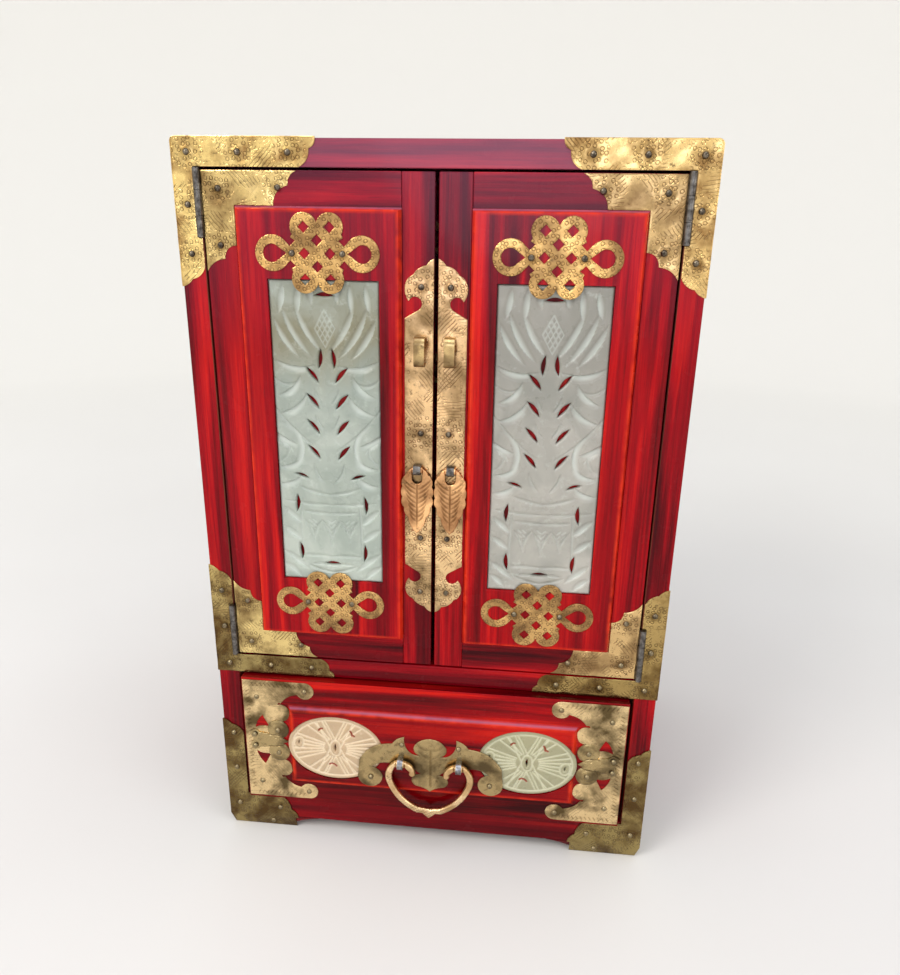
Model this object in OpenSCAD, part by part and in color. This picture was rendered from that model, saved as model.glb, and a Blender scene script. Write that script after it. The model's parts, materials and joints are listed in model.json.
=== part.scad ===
// Table-top jewellery armoire: a lacquered hardwood case with two hinged doors over one drawer,
// sheet-brass mounts held by domed nails, carved stone insets, leaf pulls and a bail handle.
// Origin: on the surface it stands on, at the middle of the whole width and depth, with the bail's
// staples counted in the depth. +Z up, the doors face -Y.

/* [Case] */
// Width of the case over the side boards
case_w = 230; // [226:1:240]
// Depth of the case, front edge of the side boards to the back
case_d = 170; // [150:1:200]
// Height over everything, from the surface to the top
case_h = 362; // [358:1:380]
// Thickness of the side boards
side_t = 11; // [10:0.5:12]
// Thickness of the top board
top_t = 11.5; // [10:0.5:12]
// Height of the feet
foot_h = 7.5; // [7:0.5:9]
// Height of the bottom rail over the feet
rail_h = 15.5; // [15:0.5:16]
// Height of the drawer opening
drawer_gap_h = 78.5; // [78:0.5:80]
// Thickness of the board between drawer and doors
middle_t = 10.5; // [10:0.5:11]

/* [Doors] */
// Thickness of a door
door_t = 11; // [10:0.5:12]
// Gap between the two doors
door_gap = 1.7; // [1.5:0.1:2.4]
// Width of a door's stiles and rails
door_frame_w = 14.3; // [13.5:0.1:15]
// How far a door's raised panel stands proud
panel_proud = 3; // [2.5:0.5:3.5]
// Width of a door's stone plaque
plaque_w = 50; // [48:1:52]
// Height of a door's stone plaque
plaque_h = 145; // [140:1:148]
// How far the left-hand plaque sits inwards of its panel's middle
plaque_shift = 1.9; // [0:0.1:2.5]

/* [Drawer] */
// How far the drawer front stands proud of the case
drawer_proud = 4; // [3:0.5:5]
// Thickness of the drawer's sides and back
drawer_wall = 6; // [5:0.5:7]
// Width of an oval stone on the drawer front
oval_w = 52; // [50:1:53]
// Height of an oval stone on the drawer front
oval_h = 39.5; // [38:0.5:40]

/* [Inner drawers] */
// Thickness of the boards between the inner drawers
dust_board_t = 5; // [4:0.5:6]
// Gap from the closed doors to the inner drawers' fronts
inner_setback = 22; // [20:1:24]
// Length of an inner drawer
inner_len = 120; // [80:5:120]

/* [Brass] */
// Thickness of the sheet brass
sheet_t = 0.6; // [0.5:0.1:0.8]
// Diameter of a nail's domed head
nail_d = 2.9; // [2.4:0.1:3.2]
// Height of a nail's domed head
nail_h = 1.1; // [0.8:0.1:1.3]
// Diameter of a hinge's barrel
barrel_d = 3.2; // [3:0.1:3.4]
// Diameter of a hinge's pin
hinge_pin_d = 1.1; // [1:0.1:1.2]

/* [Hidden] */
$fn = 40;

wood = "firebrick";
brass = "darkgoldenrod";
steel = "dimgray";
jade = "honeydew";
silk = "crimson";

// Levels and faces of the case
back_t = 5;
bail_staple_r = 2.1;
bail_staple_t = 1;
bail_axis_out = 2.3;
field_proud = 2;
front_reach = drawer_proud + field_proud + sheet_t + bail_axis_out + bail_staple_r + bail_staple_t;
front_y = (front_reach - case_d) / 2;
back_y = front_y + case_d;
seam = 0.1;
half_w = case_w / 2;
open_half = half_w - side_t;
rail_top = foot_h + rail_h;
middle_z = rail_top + drawer_gap_h;
open_z = middle_z + middle_t;
open_top = case_h - top_t;
inside_back = back_y - back_t;

// Doors: the right-hand door is drawn, the left-hand door is its mirror image
door_side_gap = 0.9;
door_out = open_half - door_side_gap;
door_in = door_gap / 2;
door_low = open_z + 1;
door_high = open_top - 1.2;
door_back = front_y + door_t;
door_mid_x = (door_out + door_in) / 2;
panel_half = (door_out - door_in) / 2 - door_frame_w;
panel_low = door_low + door_frame_w + 0.2;
panel_high = door_high - door_frame_w - 0.2;
panel_y = front_y - panel_proud;
panel_bevel = 1.2;
plaque_mid = (panel_low + panel_high) / 2 + 0.8;
plaque_t = 2.8;
plaque_sunk = 0.8;
fit = 0.1;

// Hinges
hinge_x = door_out + barrel_d / 2 + 0.05;
hinge_y = front_y - 0.65;
notch_x = hinge_x + barrel_d / 2 + 0.05;
hinge_len = 28.6;
knuckle_h = 9;
leaf_t = 0.7;
leaf_depth = 9;
hinge_zs = [open_z + 0.4, open_top - 0.4 - hinge_len];

// Door furniture
strike_w = 13;
strike_len = 170.4;
strike_mid = plaque_mid - 2.8;
strike_in = door_in + 0.2;
strike_y = front_y - sheet_t;
lock_x = door_in + 5.9;
lock_z = 274.6;
pull_x = 7.9;
pull_axis_z = 219;
staple_r = 1.6;
staple_t = 0.85;
staple_w = 3.6;
pull_axis_out = 1.75;
pull_axis_y = strike_y - pull_axis_out;
pull_t = 1;
bar_half = 1.4;
strap_play = 0.07;
knot_top_z = panel_high - 19.2;
knot_bottom_z = panel_low + 19.5;

// Drawer
drawer_half = open_half - 2.3;
drawer_low = rail_top + 1;
drawer_high = middle_z - 1;
drawer_y = front_y - drawer_proud;
drawer_front_t = 13;
drawer_front_back = drawer_y + drawer_front_t;
drawer_depth = 148;
drawer_wall_top = drawer_high - 8;
drawer_floor_t = 4;
drawer_ride = 0.3;
drawer_mid_z = (drawer_low + drawer_high) / 2;
field_half = 76.2;
field_low = drawer_low + 13;
field_high = drawer_high - 16;
field_y = drawer_y - field_proud;
oval_x = 51.5;
oval_z = (field_low + field_high) / 2 + 0.3;
oval_t = 3;
oval_y = field_y + 0.4;
plate_half = 37;
handle_z = 55.2;
bail_axis_z = 57;
bail_staple_x = 15.6;
bail_t = 3;
bail_axis_y = field_y - sheet_t - bail_axis_out;

// Inner drawers: full-width, one above the other behind the doors
inner_count = 4;
inner_y = door_back + inner_setback;
inner_cell = (open_top - open_z - (inner_count - 1) * dust_board_t) / inner_count;
inner_half = open_half - 1;
inner_front_t = 7;
inner_wall = 4;
inner_floor_t = 3;
knob_plate_d = 15.5;
knob_reach = 8.8;

// The feet are cut back by this much at the floor
foot_under = 2;
foot_len = 51;
foot_side_len = 42;
foot_wide = 11;
sleeve_len = 38;

// ---------- helpers ----------

// Points from p (left out) to q on a curve that bulges s to the left of the way
function bow(p, q, s, n = 8) =
  let (d = q - p, side = [-d[1], d[0]] / norm(d))
  [for (i = [1:n]) let (t = i / n) p + d * t + side * s * 4 * t * (1 - t)];

// Points on an arc about c
function arc(c, r, a0, a1, n = 12) =
  [for (i = [0:n]) let (a = a0 + (a1 - a0) * i / n) c + r * [cos(a), sin(a)]];

function ellipse(a, b, n = 72) = [for (i = [0:n - 1]) [a * cos(i * 360 / n), b * sin(i * 360 / n)]];

// Outline mirrored about the x axis and joined into one closed loop
function mirrored(half) = concat(half, [for (i = [len(half) - 1:-1:0]) [half[i][0], -half[i][1]]]);

// Right half of an outline, from its top to its foot on x = 0, closed with its mirror image
function mirrored_x(half) =
  concat(half, [for (i = [len(half) - 2:-1:1]) [-half[i][0], half[i][1]]]);

// Draws a flat shape, given in x and z, t thick and forward of the plane y
module upright(y, t) {
  translate([0, y, 0]) rotate([90, 0, 0]) linear_extrude(t) children();
}

module box(low, high) {
  translate(low) cube(high - low);
}

module left() {
  mirror([1, 0, 0]) children();
}

module both() {
  children();
  left() children();
}

// A round bar along x, centred on the origin
module rod(r, len) {
  rotate([0, 90, 0]) cylinder(h = len, r = r, center = true);
}

// A nail's domed head, standing forward of the plane y
module nail(x, y, z) {
  r = (pow(nail_d / 2, 2) + pow(nail_h, 2)) / (2 * nail_h);
  translate([x, y, z]) rotate([90, 0, 0])
    intersection() {
      translate([0, 0, nail_h - r]) sphere(r);
      cylinder(h = nail_h + 1, d = nail_d + 1);
    }
}

// A nail's domed head on a side board
module side_nail(y, z) {
  translate([half_w + sheet_t, y, z]) rotate([0, 0, 90]) nail(0, 0, 0);
}

// A folded corner mount in one plane: corner at the origin, arm along +x, leg along -y
module corner_shape(arm, arm_w, leg, leg_w) {
  tip = arm_w * 0.55;
  polygon(concat(
    [[0, 0], [arm, 0]],
    bow([arm, 0], [arm - tip * 0.45, -arm_w * 0.36], 0.9),
    bow([arm - tip * 0.45, -arm_w * 0.36], [arm - tip * 1.2, -arm_w], 1.5),
    [[leg_w, -arm_w], [leg_w, -leg + leg_w * 0.76]],
    bow([leg_w, -leg + leg_w * 0.76], [leg_w * 0.42, -leg + leg_w * 0.3], 1.1),
    bow([leg_w * 0.42, -leg + leg_w * 0.3], [0, -leg], 0.5)
  ));
}

// ---------- case ----------

// Where a side board and its mounts are cut away for the hinges
module hinge_notches() {
  for (z = [open_z, open_top - hinge_len - 0.5])
    box([open_half - 1, front_y - 2, z], [notch_x, front_y + leaf_depth + 0.1, z + hinge_len + 0.5]);
}

module side_board() {
  color(wood) difference() {
    box([open_half, front_y, foot_h], [half_w, back_y, open_top]);
    hinge_notches();
  }
}

module top_board() {
  color(wood) box([-half_w, front_y, open_top], [half_w, back_y, case_h]);
}

module back_board() {
  color(wood) box([-open_half, inside_back, foot_h], [open_half, back_y, open_top]);
}

module middle_board() {
  color(wood) box([-open_half, front_y, middle_z], [open_half, inside_back, open_z]);
}

module base_board() {
  color(wood) box([-open_half, front_y + 12, rail_top - 7.5], [open_half, inside_back, rail_top]);
}

module bottom_rail() {
  color(wood) box([-open_half, front_y, foot_h], [open_half, front_y + 12, rail_top]);
}

// A foot's run along x: full length under the case, sloping up to its inner end
module foot_run(len) {
  difference() {
    translate([0, foot_wide, 0]) rotate([90, 0, 0]) linear_extrude(foot_wide)
      polygon(concat(
        [[0, 0], [len * 0.62, 0]],
        bow([len * 0.62, 0], [len, foot_h], 1.2),
        [[0, foot_h]]
      ));
    foot_cutback(0, len);
  }
}

// The wedge in front of a foot's slanting face, moved out by grow
module foot_cutback(grow, len) {
  translate([-5, 0, 0]) rotate([90, 0, 90]) linear_extrude(len + 10)
    polygon([[-9, -1], [foot_under - grow, -1], [foot_under - grow, 0], [-grow, foot_h],
      [-grow, foot_h + 1], [-9, foot_h + 1]]);
}

module swap_xy() {
  mirror([1, -1, 0]) children();
}

// A bracket foot with its outer corner at the origin
module corner_foot() {
  difference() {
    union() {
      foot_run(foot_len);
      swap_xy() foot_run(foot_side_len);
    }
    foot_cutback(0, foot_len);
    swap_xy() foot_cutback(0, foot_side_len);
  }
}

module feet() {
  color(wood)
    for (x = [0, 1])
      mirror([x, 0, 0]) {
        translate([-half_w, front_y, 0]) corner_foot();
        translate([-half_w, back_y, 0]) mirror([0, 1, 0]) corner_foot();
      }
}

module dust_boards() {
  color(wood) for (i = [1:inner_count - 1])
    translate([0, 0, open_z + i * inner_cell + (i - 1) * dust_board_t])
      box([-open_half, inner_y, 0], [open_half, inside_back, dust_board_t]);
}

// ---------- inner drawers ----------

function inner_low(i) = open_z + (i - 1) * (inner_cell + dust_board_t) + 0.4;

// Inner drawer i, counted from the bottom: five boards
module inner_drawer(i) {
  low = inner_low(i);
  high = low + inner_cell - 1;
  rim = high - 8;
  y0 = inner_y + inner_front_t + seam;
  y1 = inner_y + inner_len;
  inside = inner_half - inner_wall - seam;
  color("indianred") {
    box([-inner_half, inner_y, low], [inner_half, inner_y + inner_front_t, high]);
    both() box([inner_half - inner_wall, y0, low], [inner_half, y1, rim]);
    box([-inside, y1 - inner_wall, low], [inside, y1, rim]);
    box([-inside, y0, low], [inside, y1 - inner_wall - seam, low + inner_floor_t]);
  }
}

// A turned knob on a round plate, at the middle of inner drawer i's front
module inner_knob(i) {
  ball_r = 4;
  color(brass)
    translate([0, inner_y, inner_low(i) + inner_cell / 2 - 0.4]) rotate([90, 0, 0]) {
      cylinder(h = 0.8, d = knob_plate_d);
      cylinder(h = knob_reach - ball_r, d = 3.6);
      translate([0, 0, knob_reach - ball_r]) sphere(ball_r);
    }
}

// ---------- brass on the case ----------

arm_front = 63;
arm_side = 46;
leg_long = 61.6;
leg_w = side_t - 0.3;

// A corner mount at the right, folded over front and side and, if capped, the top
module corner_mount(arm_w, capped) {
  upright(front_y, sheet_t)
    translate([half_w, 0]) mirror([1, 0]) corner_shape(arm_front, arm_w, leg_long, leg_w);
  translate([half_w, front_y - sheet_t, 0]) rotate([90, 0, 90]) linear_extrude(sheet_t)
    corner_shape(arm_side, arm_w, leg_long, leg_w);
  if (capped)
    linear_extrude(sheet_t)
      polygon([
        [half_w + sheet_t, front_y - sheet_t],
        [half_w - arm_front, front_y - sheet_t],
        [half_w - arm_front + 5, front_y + leg_w],
        [half_w - leg_w, front_y + leg_w],
        [half_w - leg_w, front_y + arm_side - 5],
        [half_w + sheet_t, front_y + arm_side]
      ]);
}

module frame_bracket_top() {
  color(brass) difference() {
    translate([0, 0, case_h]) corner_mount(top_t, true);
    hinge_notches();
  }
}

module frame_bracket_middle() {
  color(brass) difference() {
    translate([0, 0, middle_z]) mirror([0, 0, 1]) corner_mount(middle_t, false);
    hinge_notches();
  }
}

base_arm = 39;
base_leg = 63.5;
base_arm_h = rail_h - 0.5;

// The folded skin over a foot, its outer corner at the origin
module foot_sleeve() {
  difference() {
    translate([-sheet_t, -sheet_t, 0.3]) cube([sleeve_len, sleeve_len, foot_h - 0.3]);
    foot_cutback(sheet_t, foot_len);
    swap_xy() foot_cutback(sheet_t, foot_len);
    difference() {
      translate([-1, -1, -1]) cube([foot_len, foot_len, foot_h + 2]);
      foot_cutback(0, foot_len);
      swap_xy() foot_cutback(0, foot_len);
    }
  }
}

module base_bracket() {
  color(brass) {
    upright(front_y, sheet_t)
      translate([half_w, foot_h]) mirror([1, 0]) mirror([0, 1])
        corner_shape(base_arm, base_arm_h, base_leg, leg_w);
    translate([half_w, front_y - sheet_t, foot_h]) rotate([90, 0, 90]) linear_extrude(sheet_t)
      mirror([0, 1]) corner_shape(base_arm, base_arm_h, base_leg, leg_w);
    translate([half_w, front_y, 0]) mirror([1, 0, 0]) foot_sleeve();
  }
}

// Nails of a front mount, as distances along its arm and leg from the case's corner
arm_nails = [6.5, 29, 51];
leg_nails = [27, 47.5];

module mount_nails(z, way, arm_w) {
  for (a = arm_nails)
    nail(half_w - a, front_y - sheet_t, z + way * arm_w / 2);
  for (l = leg_nails) {
    nail(half_w - leg_w / 2, front_y - sheet_t, z + way * l);
    side_nail(front_y + leg_w / 2, z + way * l);
  }
  for (a = [6.5, 36])
    side_nail(front_y + a, z + way * arm_w / 2);
}

module frame_nails() {
  color(brass) both() {
    mount_nails(case_h, -1, top_t);
    mount_nails(middle_z, 1, middle_t);
    for (z = [8, 32, 55]) {
      nail(half_w - leg_w / 2, front_y - sheet_t, foot_h + z);
      side_nail(front_y + leg_w / 2, foot_h + z);
    }
    nail(half_w - 29, front_y - sheet_t, foot_h + rail_h / 2 - 1);
    side_nail(front_y + 29, foot_h + rail_h / 2 - 1);
    translate([half_w - 24, front_y - sheet_t + foot_under / 2, foot_h / 2])
      rotate([atan(foot_under / foot_h), 0, 0]) nail(0, 0, 0);
  }
}

// ---------- hinges ----------

// A hinge leaf drawn at the right-hand side, with its knuckles from z to z + h
module leaf(x_low, x_high, z, knuckles) {
  leaf_y = hinge_y + barrel_d / 2 + 0.15;
  difference() {
    union() {
      box([x_low, leaf_y, z], [x_high, front_y + leaf_depth, z + hinge_len]);
      for (k = knuckles) {
        translate([hinge_x, hinge_y, z + k[0]]) cylinder(h = k[1], d = barrel_d);
        box([x_low, hinge_y, z + k[0]], [x_high, leaf_y + 0.05, z + k[0] + k[1]]);
      }
    }
    translate([hinge_x, hinge_y, z - 1]) cylinder(h = hinge_len + 2, d = hinge_pin_d + 0.1);
  }
}

module hinge_frame_leaves() {
  color(steel) both()
    for (z = hinge_zs)
      leaf(notch_x - leaf_t, notch_x, z, [[0, knuckle_h], [hinge_len - knuckle_h, knuckle_h]]);
}

module door_hinge_leaves() {
  gap = 0.15;
  color(steel)
    for (z = hinge_zs)
      difference() {
        leaf(door_out, door_out + leaf_t, z, [[knuckle_h + gap, hinge_len - 2 * (knuckle_h + gap)]]);
        box([door_out - 1, front_y - 1, z - 1], [hinge_x + 2, front_y + leaf_depth + 1, z + 1.2]);
        box([door_out - 1, front_y - 1, z + hinge_len - 1.2],
          [hinge_x + 2, front_y + leaf_depth + 1, z + hinge_len + 1]);
      }
}

module hinge_pins() {
  color(steel) both()
    for (z = hinge_zs)
      translate([hinge_x, hinge_y, z]) cylinder(h = hinge_len, d = hinge_pin_d);
}

// ---------- doors ----------

// Two stiles with two rails between them
module door_frame() {
  rail_in = door_in + door_frame_w + seam;
  rail_out = door_out - door_frame_w - seam;
  color(wood) {
    box([door_in, front_y, door_low], [door_in + door_frame_w, door_back, door_high]);
    box([door_out - door_frame_w, front_y, door_low], [door_out, door_back, door_high]);
    for (z = [door_low, door_high - door_frame_w])
      box([rail_in, front_y, z], [rail_out, door_back, z + door_frame_w]);
  }
}

// The raised panel: its proud part has bevelled edges, and a pocket holds the plaque
module door_panel(shift) {
  plaque_x = door_mid_x - shift;
  bw = panel_half - panel_bevel;
  color(wood) difference() {
    union() {
      box([door_mid_x - panel_half, front_y, panel_low - 0.2],
        [door_mid_x + panel_half, door_back - 1.5, panel_high + 0.2]);
      hull() {
        box([door_mid_x - panel_half + 0.3, front_y - 1, panel_low + 0.3],
          [door_mid_x + panel_half - 0.3, front_y, panel_high - 0.3]);
        box([door_mid_x - bw, panel_y, panel_low + panel_bevel],
          [door_mid_x + bw, front_y, panel_high - panel_bevel]);
      }
    }
    box([plaque_x - plaque_w / 2 - fit, panel_y - 1, plaque_mid - plaque_h / 2 - fit],
      [plaque_x + plaque_w / 2 + fit, panel_y + plaque_sunk + plaque_t, plaque_mid + plaque_h / 2 + fit]);
  }
}

// A lens-shaped slit, len long, at p and turned by a
module slit(p, len, a) {
  wide = len * 0.16;
  translate(p) rotate(a)
    polygon(concat([[-len / 2, 0]], bow([-len / 2, 0], [len / 2, 0], wide),
      bow([len / 2, 0], [-len / 2, 0], wide * 0.4)));
}

// The slits of a plaque, from its centre: a stem's leaf openings over a vase's outline
module plaque_slits() {
  for (s = [-1, 1]) {
    slit([s * 3.1, 37.9], 9, 90 + s * 6);
    for (i = [0:3])
      slit([s * (6.8 + i * 0.15), 30.3 - i * 12.25], 9, s * 50);
    slit([s * 13.7, -18.5], 7, s * 19);
    slit([s * 16.8, -32.5], 9, 90 + s * 4);
    slit([s * 16, -57.7], 9, 90 - s * 4);
  }
  slit([0, 66], 8.5, 0);
  slit([0, -64], 8.5, 0);
}

module door_jade(shift) {
  color(jade) upright(panel_y + plaque_sunk + plaque_t, plaque_t)
    translate([door_mid_x - shift, plaque_mid]) difference() {
      square([plaque_w, plaque_h], center = true);
      plaque_slits();
    }
}

// An endless knot with a loop at each side, centred on the origin
module knot_shape() {
  pitch = 5.7;
  lobe_r = 6;
  difference() {
    union() {
      for (sx = [-1, 1], sy = [-1, 1])
        translate([sx * pitch, sy * 2 * pitch * 0.96]) circle(lobe_r);
      polygon([[-8.6, 12], [8.6, 12], [11.6, 6.6], [9.6, 5.3], [13, 2], [13, -2],
        [9.6, -5.3], [11.6, -6.6], [8.6, -12], [-8.6, -12], [-11.6, -6.6], [-9.6, -5.3],
        [-13, -2], [-13, 2], [-9.6, 5.3], [-11.6, 6.6]]);
      for (s = [-1, 1]) scale([s, 1]) loop_outline();
    }
    for (p = [[-1, 2], [1, 2], [0, 1], [-1, 0], [1, 0], [0, -1], [-1, -2], [1, -2]])
      translate([p[0] * pitch, p[1] * pitch * 0.96]) rotate(45) square(3.6, center = true);
    for (s = [-1, 1]) scale([s, 1]) loop_hole();
    for (s = [-1, 1]) translate([0, s * 17.6]) circle(2.2);
  }
}

// A teardrop: an arc about c closed to the point tip
function teardrop(c, r, tip) =
  let (a = acos(r / (c - tip)))
  concat(arc([-c, 0], r, a, 360 - a, 28), [[-tip, 0]]);

module loop_outline() {
  polygon(teardrop(19.9, 7.7, 9.2));
}

module loop_hole() {
  polygon(teardrop(20.2, 3.9, 13.6));
}

module door_knots() {
  color(brass) for (z = [knot_top_z, knot_bottom_z])
    upright(panel_y, sheet_t) translate([door_mid_x, z]) knot_shape();
}

door_arm = 42.3;
door_leg = 41.7;
door_band = door_frame_w - 0.3;

module door_bracket_shape() {
  polygon(concat(
    [[0, 0], [door_arm, 0]],
    bow([door_arm, 0], [door_arm - 4, -5.8], -1.2),
    bow([door_arm - 4, -5.8], [door_arm - 10.8, -door_band], -2),
    [[door_band, -door_band], [door_band, -door_leg + 11]],
    bow([door_band, -door_leg + 11], [8.4, -door_leg + 5.2], -1.8),
    bow([8.4, -door_leg + 5.2], [0, -door_leg], -1.3)
  ));
}

// The mounts at a door's two outer corners
module door_brackets() {
  color(brass) upright(front_y, sheet_t) translate([door_out - 0.1, 0]) mirror([1, 0]) {
    translate([0, door_high - 0.2]) door_bracket_shape();
    translate([0, door_low + 0.2]) mirror([0, 1]) door_bracket_shape();
  }
}

// Half of a strike plate's outline, from its tip to its middle; x runs outwards from the door's edge
function strike_half() =
  let (half = strike_len / 2, notch = [8.3, half - 19.2])
  concat(
    [[0, half]],
    bow([0, half], [3.2, half - 2.8], 0.4),
    bow([3.2, half - 2.8], [9.2, half - 6.8], 0.8),
    bow([9.2, half - 6.8], [13, half - 12.6], 1),
    bow([13, half - 12.6], [11.2, half - 18], 0.5),
    arc(notch, 3.1, 22, 238, 14),
    [[strike_w, half - 25.6]]
  );

module strike_plate() {
  color(brass) upright(front_y, sheet_t) translate([strike_in, strike_mid])
    polygon(mirrored(strike_half()));
}

// A strap bent into a loop, open at both sides, for a padlock's bar
module lock_loop() {
  wide = 4.8;
  high = 13.4;
  reach = 6.2;
  strap = 0.9;
  low_r = 2.4;
  top_r = 3.6;
  color(brass) translate([lock_x - wide / 2, strike_y, lock_z]) rotate([90, 0, 90])
    linear_extrude(wide) difference() {
      polygon(concat([[0, -high / 2]],
        arc([-reach + low_r, -high / 2 + low_r], low_r, 270, 180, 8),
        arc([-reach + top_r, high / 2 - top_r], top_r, 180, 90, 10), [[0, high / 2]]));
      polygon(concat([[1, -high / 2 + strap]],
        arc([-reach + low_r, -high / 2 + low_r], low_r - strap, 270, 180, 8),
        arc([-reach + top_r, high / 2 - top_r], top_r - strap, 180, 90, 10), [[1, high / 2 - strap]]));
    }
}

// A strap bent round an axis along x, with legs back to the plane at distance out behind it
module staple(r, t, wide, out) {
  difference() {
    union() {
      rod(r + t, wide);
      box([-wide / 2, 0, -r - t], [wide / 2, out, r + t]);
    }
    rod(r, wide + 2);
    box([-wide / 2 - 1, 0, -r], [wide / 2 + 1, out + r + t, r]);
    box([-wide / 2 - 1, out, -r - t - 1], [wide / 2 + 1, out + r + t, r + t + 1]);
  }
}

module pull_staple() {
  color(steel) translate([pull_x, pull_axis_y, pull_axis_z])
    staple(staple_r, staple_t, staple_w, pull_axis_out);
}

// Half of a leaf, its hole's centre at the origin: scalloped edge down to the tip
function leaf_half() =
  concat(
    arc([0, 0], 5.6, 90, 20, 8),
    bow([5.6 * cos(20), 5.6 * sin(20)], [7.2, -4.2], 1.1, 5),
    bow([7.2, -4.2], [7.2, -9.4], 0.7, 5),
    bow([7.2, -9.4], [6.4, -14.6], 0.9, 5),
    bow([6.4, -14.6], [4.4, -19.6], 0.7, 5),
    bow([4.4, -19.6], [0, -27.8], 0.9, 6)
  );

// The pull hangs by the barrel over its arched hole, which the staple passes through
module leaf_pull() {
  hole_half = 2.4;
  hole_top = -bar_half;
  color(brass) translate([pull_x, pull_axis_y, pull_axis_z]) {
    rod(staple_r - strap_play, 2 * hole_half);
    upright(pull_t / 2, pull_t) difference() {
      translate([0, -5.6 + bar_half]) polygon(mirrored_x(leaf_half()));
      translate([-hole_half, hole_top - 3]) square([2 * hole_half, 3]);
      translate([0, hole_top - 3]) circle(hole_half);
    }
  }
}

module door_nails() {
  z_bottom = strike_mid - strike_len / 2;
  z_top = strike_mid + strike_len / 2;
  color(brass) {
    for (z = [door_high - 7.5, door_low + 7.5])
      nail(door_out - 7.5, front_y - sheet_t, z);
    for (z = [door_high - 7, door_low + 7])
      nail(door_out - 34, front_y - sheet_t, z);
    for (z = [door_high - 31, door_low + 31])
      nail(door_out - 7, front_y - sheet_t, z);
    for (z = [z_top - 12, z_top - 78, z_bottom + 40, z_bottom + 11])
      nail(strike_in + 5.5, front_y - sheet_t, z);
    for (z = [knot_top_z, knot_bottom_z], s = [-1, 1])
      nail(door_mid_x + s * 11.2, panel_y - sheet_t, z);
  }
}

// ---------- drawer ----------

module drawer_front() {
  color(wood) difference() {
    union() {
      box([-drawer_half, drawer_y, drawer_low], [drawer_half, drawer_front_back, drawer_high]);
      hull() {
        box([-field_half, drawer_y - 0.5, field_low], [field_half, drawer_y, field_high]);
        box([-field_half + 1.2, field_y, field_low + 1.2],
          [field_half - 1.2, drawer_y, field_high - 1.2]);
      }
    }
    for (s = [-1, 1])
      upright(oval_y + oval_t, oval_t + 2) translate([s * oval_x, oval_z])
        polygon(ellipse(oval_w / 2 + fit, oval_h / 2 + fit));
  }
}

module drawer_sides() {
  color("indianred") both()
    box([drawer_half - drawer_wall, drawer_front_back, rail_top + drawer_ride],
      [drawer_half, drawer_front_back + drawer_depth, drawer_wall_top]);
}

module drawer_back() {
  y = drawer_front_back + drawer_depth;
  color("indianred") box([-drawer_half + drawer_wall, y - drawer_wall, drawer_low],
    [drawer_half - drawer_wall, y, drawer_wall_top]);
}

module drawer_bottom() {
  color("indianred") box([-drawer_half + drawer_wall, drawer_front_back, drawer_low],
    [drawer_half - drawer_wall, drawer_front_back + drawer_depth - drawer_wall, drawer_low + drawer_floor_t]);
}

module drawer_lining() {
  low = drawer_low + drawer_floor_t;
  inner = drawer_half - drawer_wall;
  y1 = drawer_front_back + drawer_depth - drawer_wall;
  color(silk) difference() {
    box([-inner, drawer_front_back, low], [inner, y1, drawer_wall_top - 4]);
    box([-inner + 1, drawer_front_back + 1, low + 1], [inner - 1, y1 - 1, drawer_wall_top]);
  }
}

module drawer_jade_ovals() {
  color(jade) for (s = [-1, 1])
    upright(oval_y + oval_t, oval_t) translate([s * oval_x, oval_z]) difference() {
      polygon(ellipse(oval_w / 2, oval_h / 2));
      slit([0, 0], 5, 90);
      for (a = [1, -1]) slit([a * 20, -a * 2], 2.6, 80);
    }
}

// Upper half of a drawer corner plate: x runs inwards from the drawer's edge, y up from its middle
module corner_plate_half() {
  difference() {
    polygon(concat(
      [[0, 0], [0, plate_half], [33.5, plate_half]],
      arc([33.8, plate_half - 4.9], 4.9, 90, -150, 18),
      bow([29.5, plate_half - 7.4], [20.4, plate_half - 13.4], -1.2),
      bow([20.4, plate_half - 13.4], [18.6, 22.6], -0.8),
      bow([18.6, 22.6], [24.8, 19.4], 1.4),
      bow([24.8, 19.4], [16.8, 12.4], 3.4),
      [[16, 0]]
    ));
    polygon(concat([[10, 15.6]], bow([10, 15.6], [5.6, 7.4], -0.8), bow([5.6, 7.4], [13.6, 8.4], 1)));
  }
}

// The moth over the middle of a corner plate: two wings, a body and two small horns
module moth_shape() {
  for (s = [-1, 1]) {
    translate([18.2, s * 7.1]) circle(5.8);
    translate([5.2, s * 3.6]) circle(2.7);
  }
  polygon([[4, 5], [12, 4.4], [18, 3], [23.6, 0], [18, -3], [12, -4.4], [4, -5]]);
}

module drawer_corner_plates() {
  color(brass) both() translate([drawer_half - 0.4, 0, drawer_mid_z]) {
    upright(drawer_y, sheet_t) mirror([1, 0]) {
      corner_plate_half();
      mirror([0, 1]) corner_plate_half();
    }
    upright(drawer_y - sheet_t, sheet_t) mirror([1, 0]) moth_shape();
  }
}

// Right half of the handle plate, centred on the origin
function handle_half() =
  concat(
    [[0, 16.8]],
    bow([0, 16.8], [8.6, 11.6], 1.4),
    bow([8.6, 11.6], [5.6, 5.8], 1.4),
    bow([5.6, 5.8], [12.6, 9.6], -1.2),
    bow([12.6, 9.6], [13.8, 17], -0.7),
    bow([13.8, 17], [20.4, 12.2], 0.9),
    bow([20.4, 12.2], [38.4, 0.5], 3.2),
    arc([32.6, -9.6], 6.7, 14, -200, 22),
    bow([26.4, -7.2], [31.6, -3.4], 0.8),
    bow([31.6, -3.4], [20, -0.6], -1.6),
    bow([20, -0.6], [4.8, -6.2], -2.2),
    bow([4.8, -6.2], [9.9, -10.4], 1.7),
    bow([9.9, -10.4], [6.2, -13.8], 0.9),
    bow([6.2, -13.8], [0, -16.8], -0.5)
  );

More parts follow.
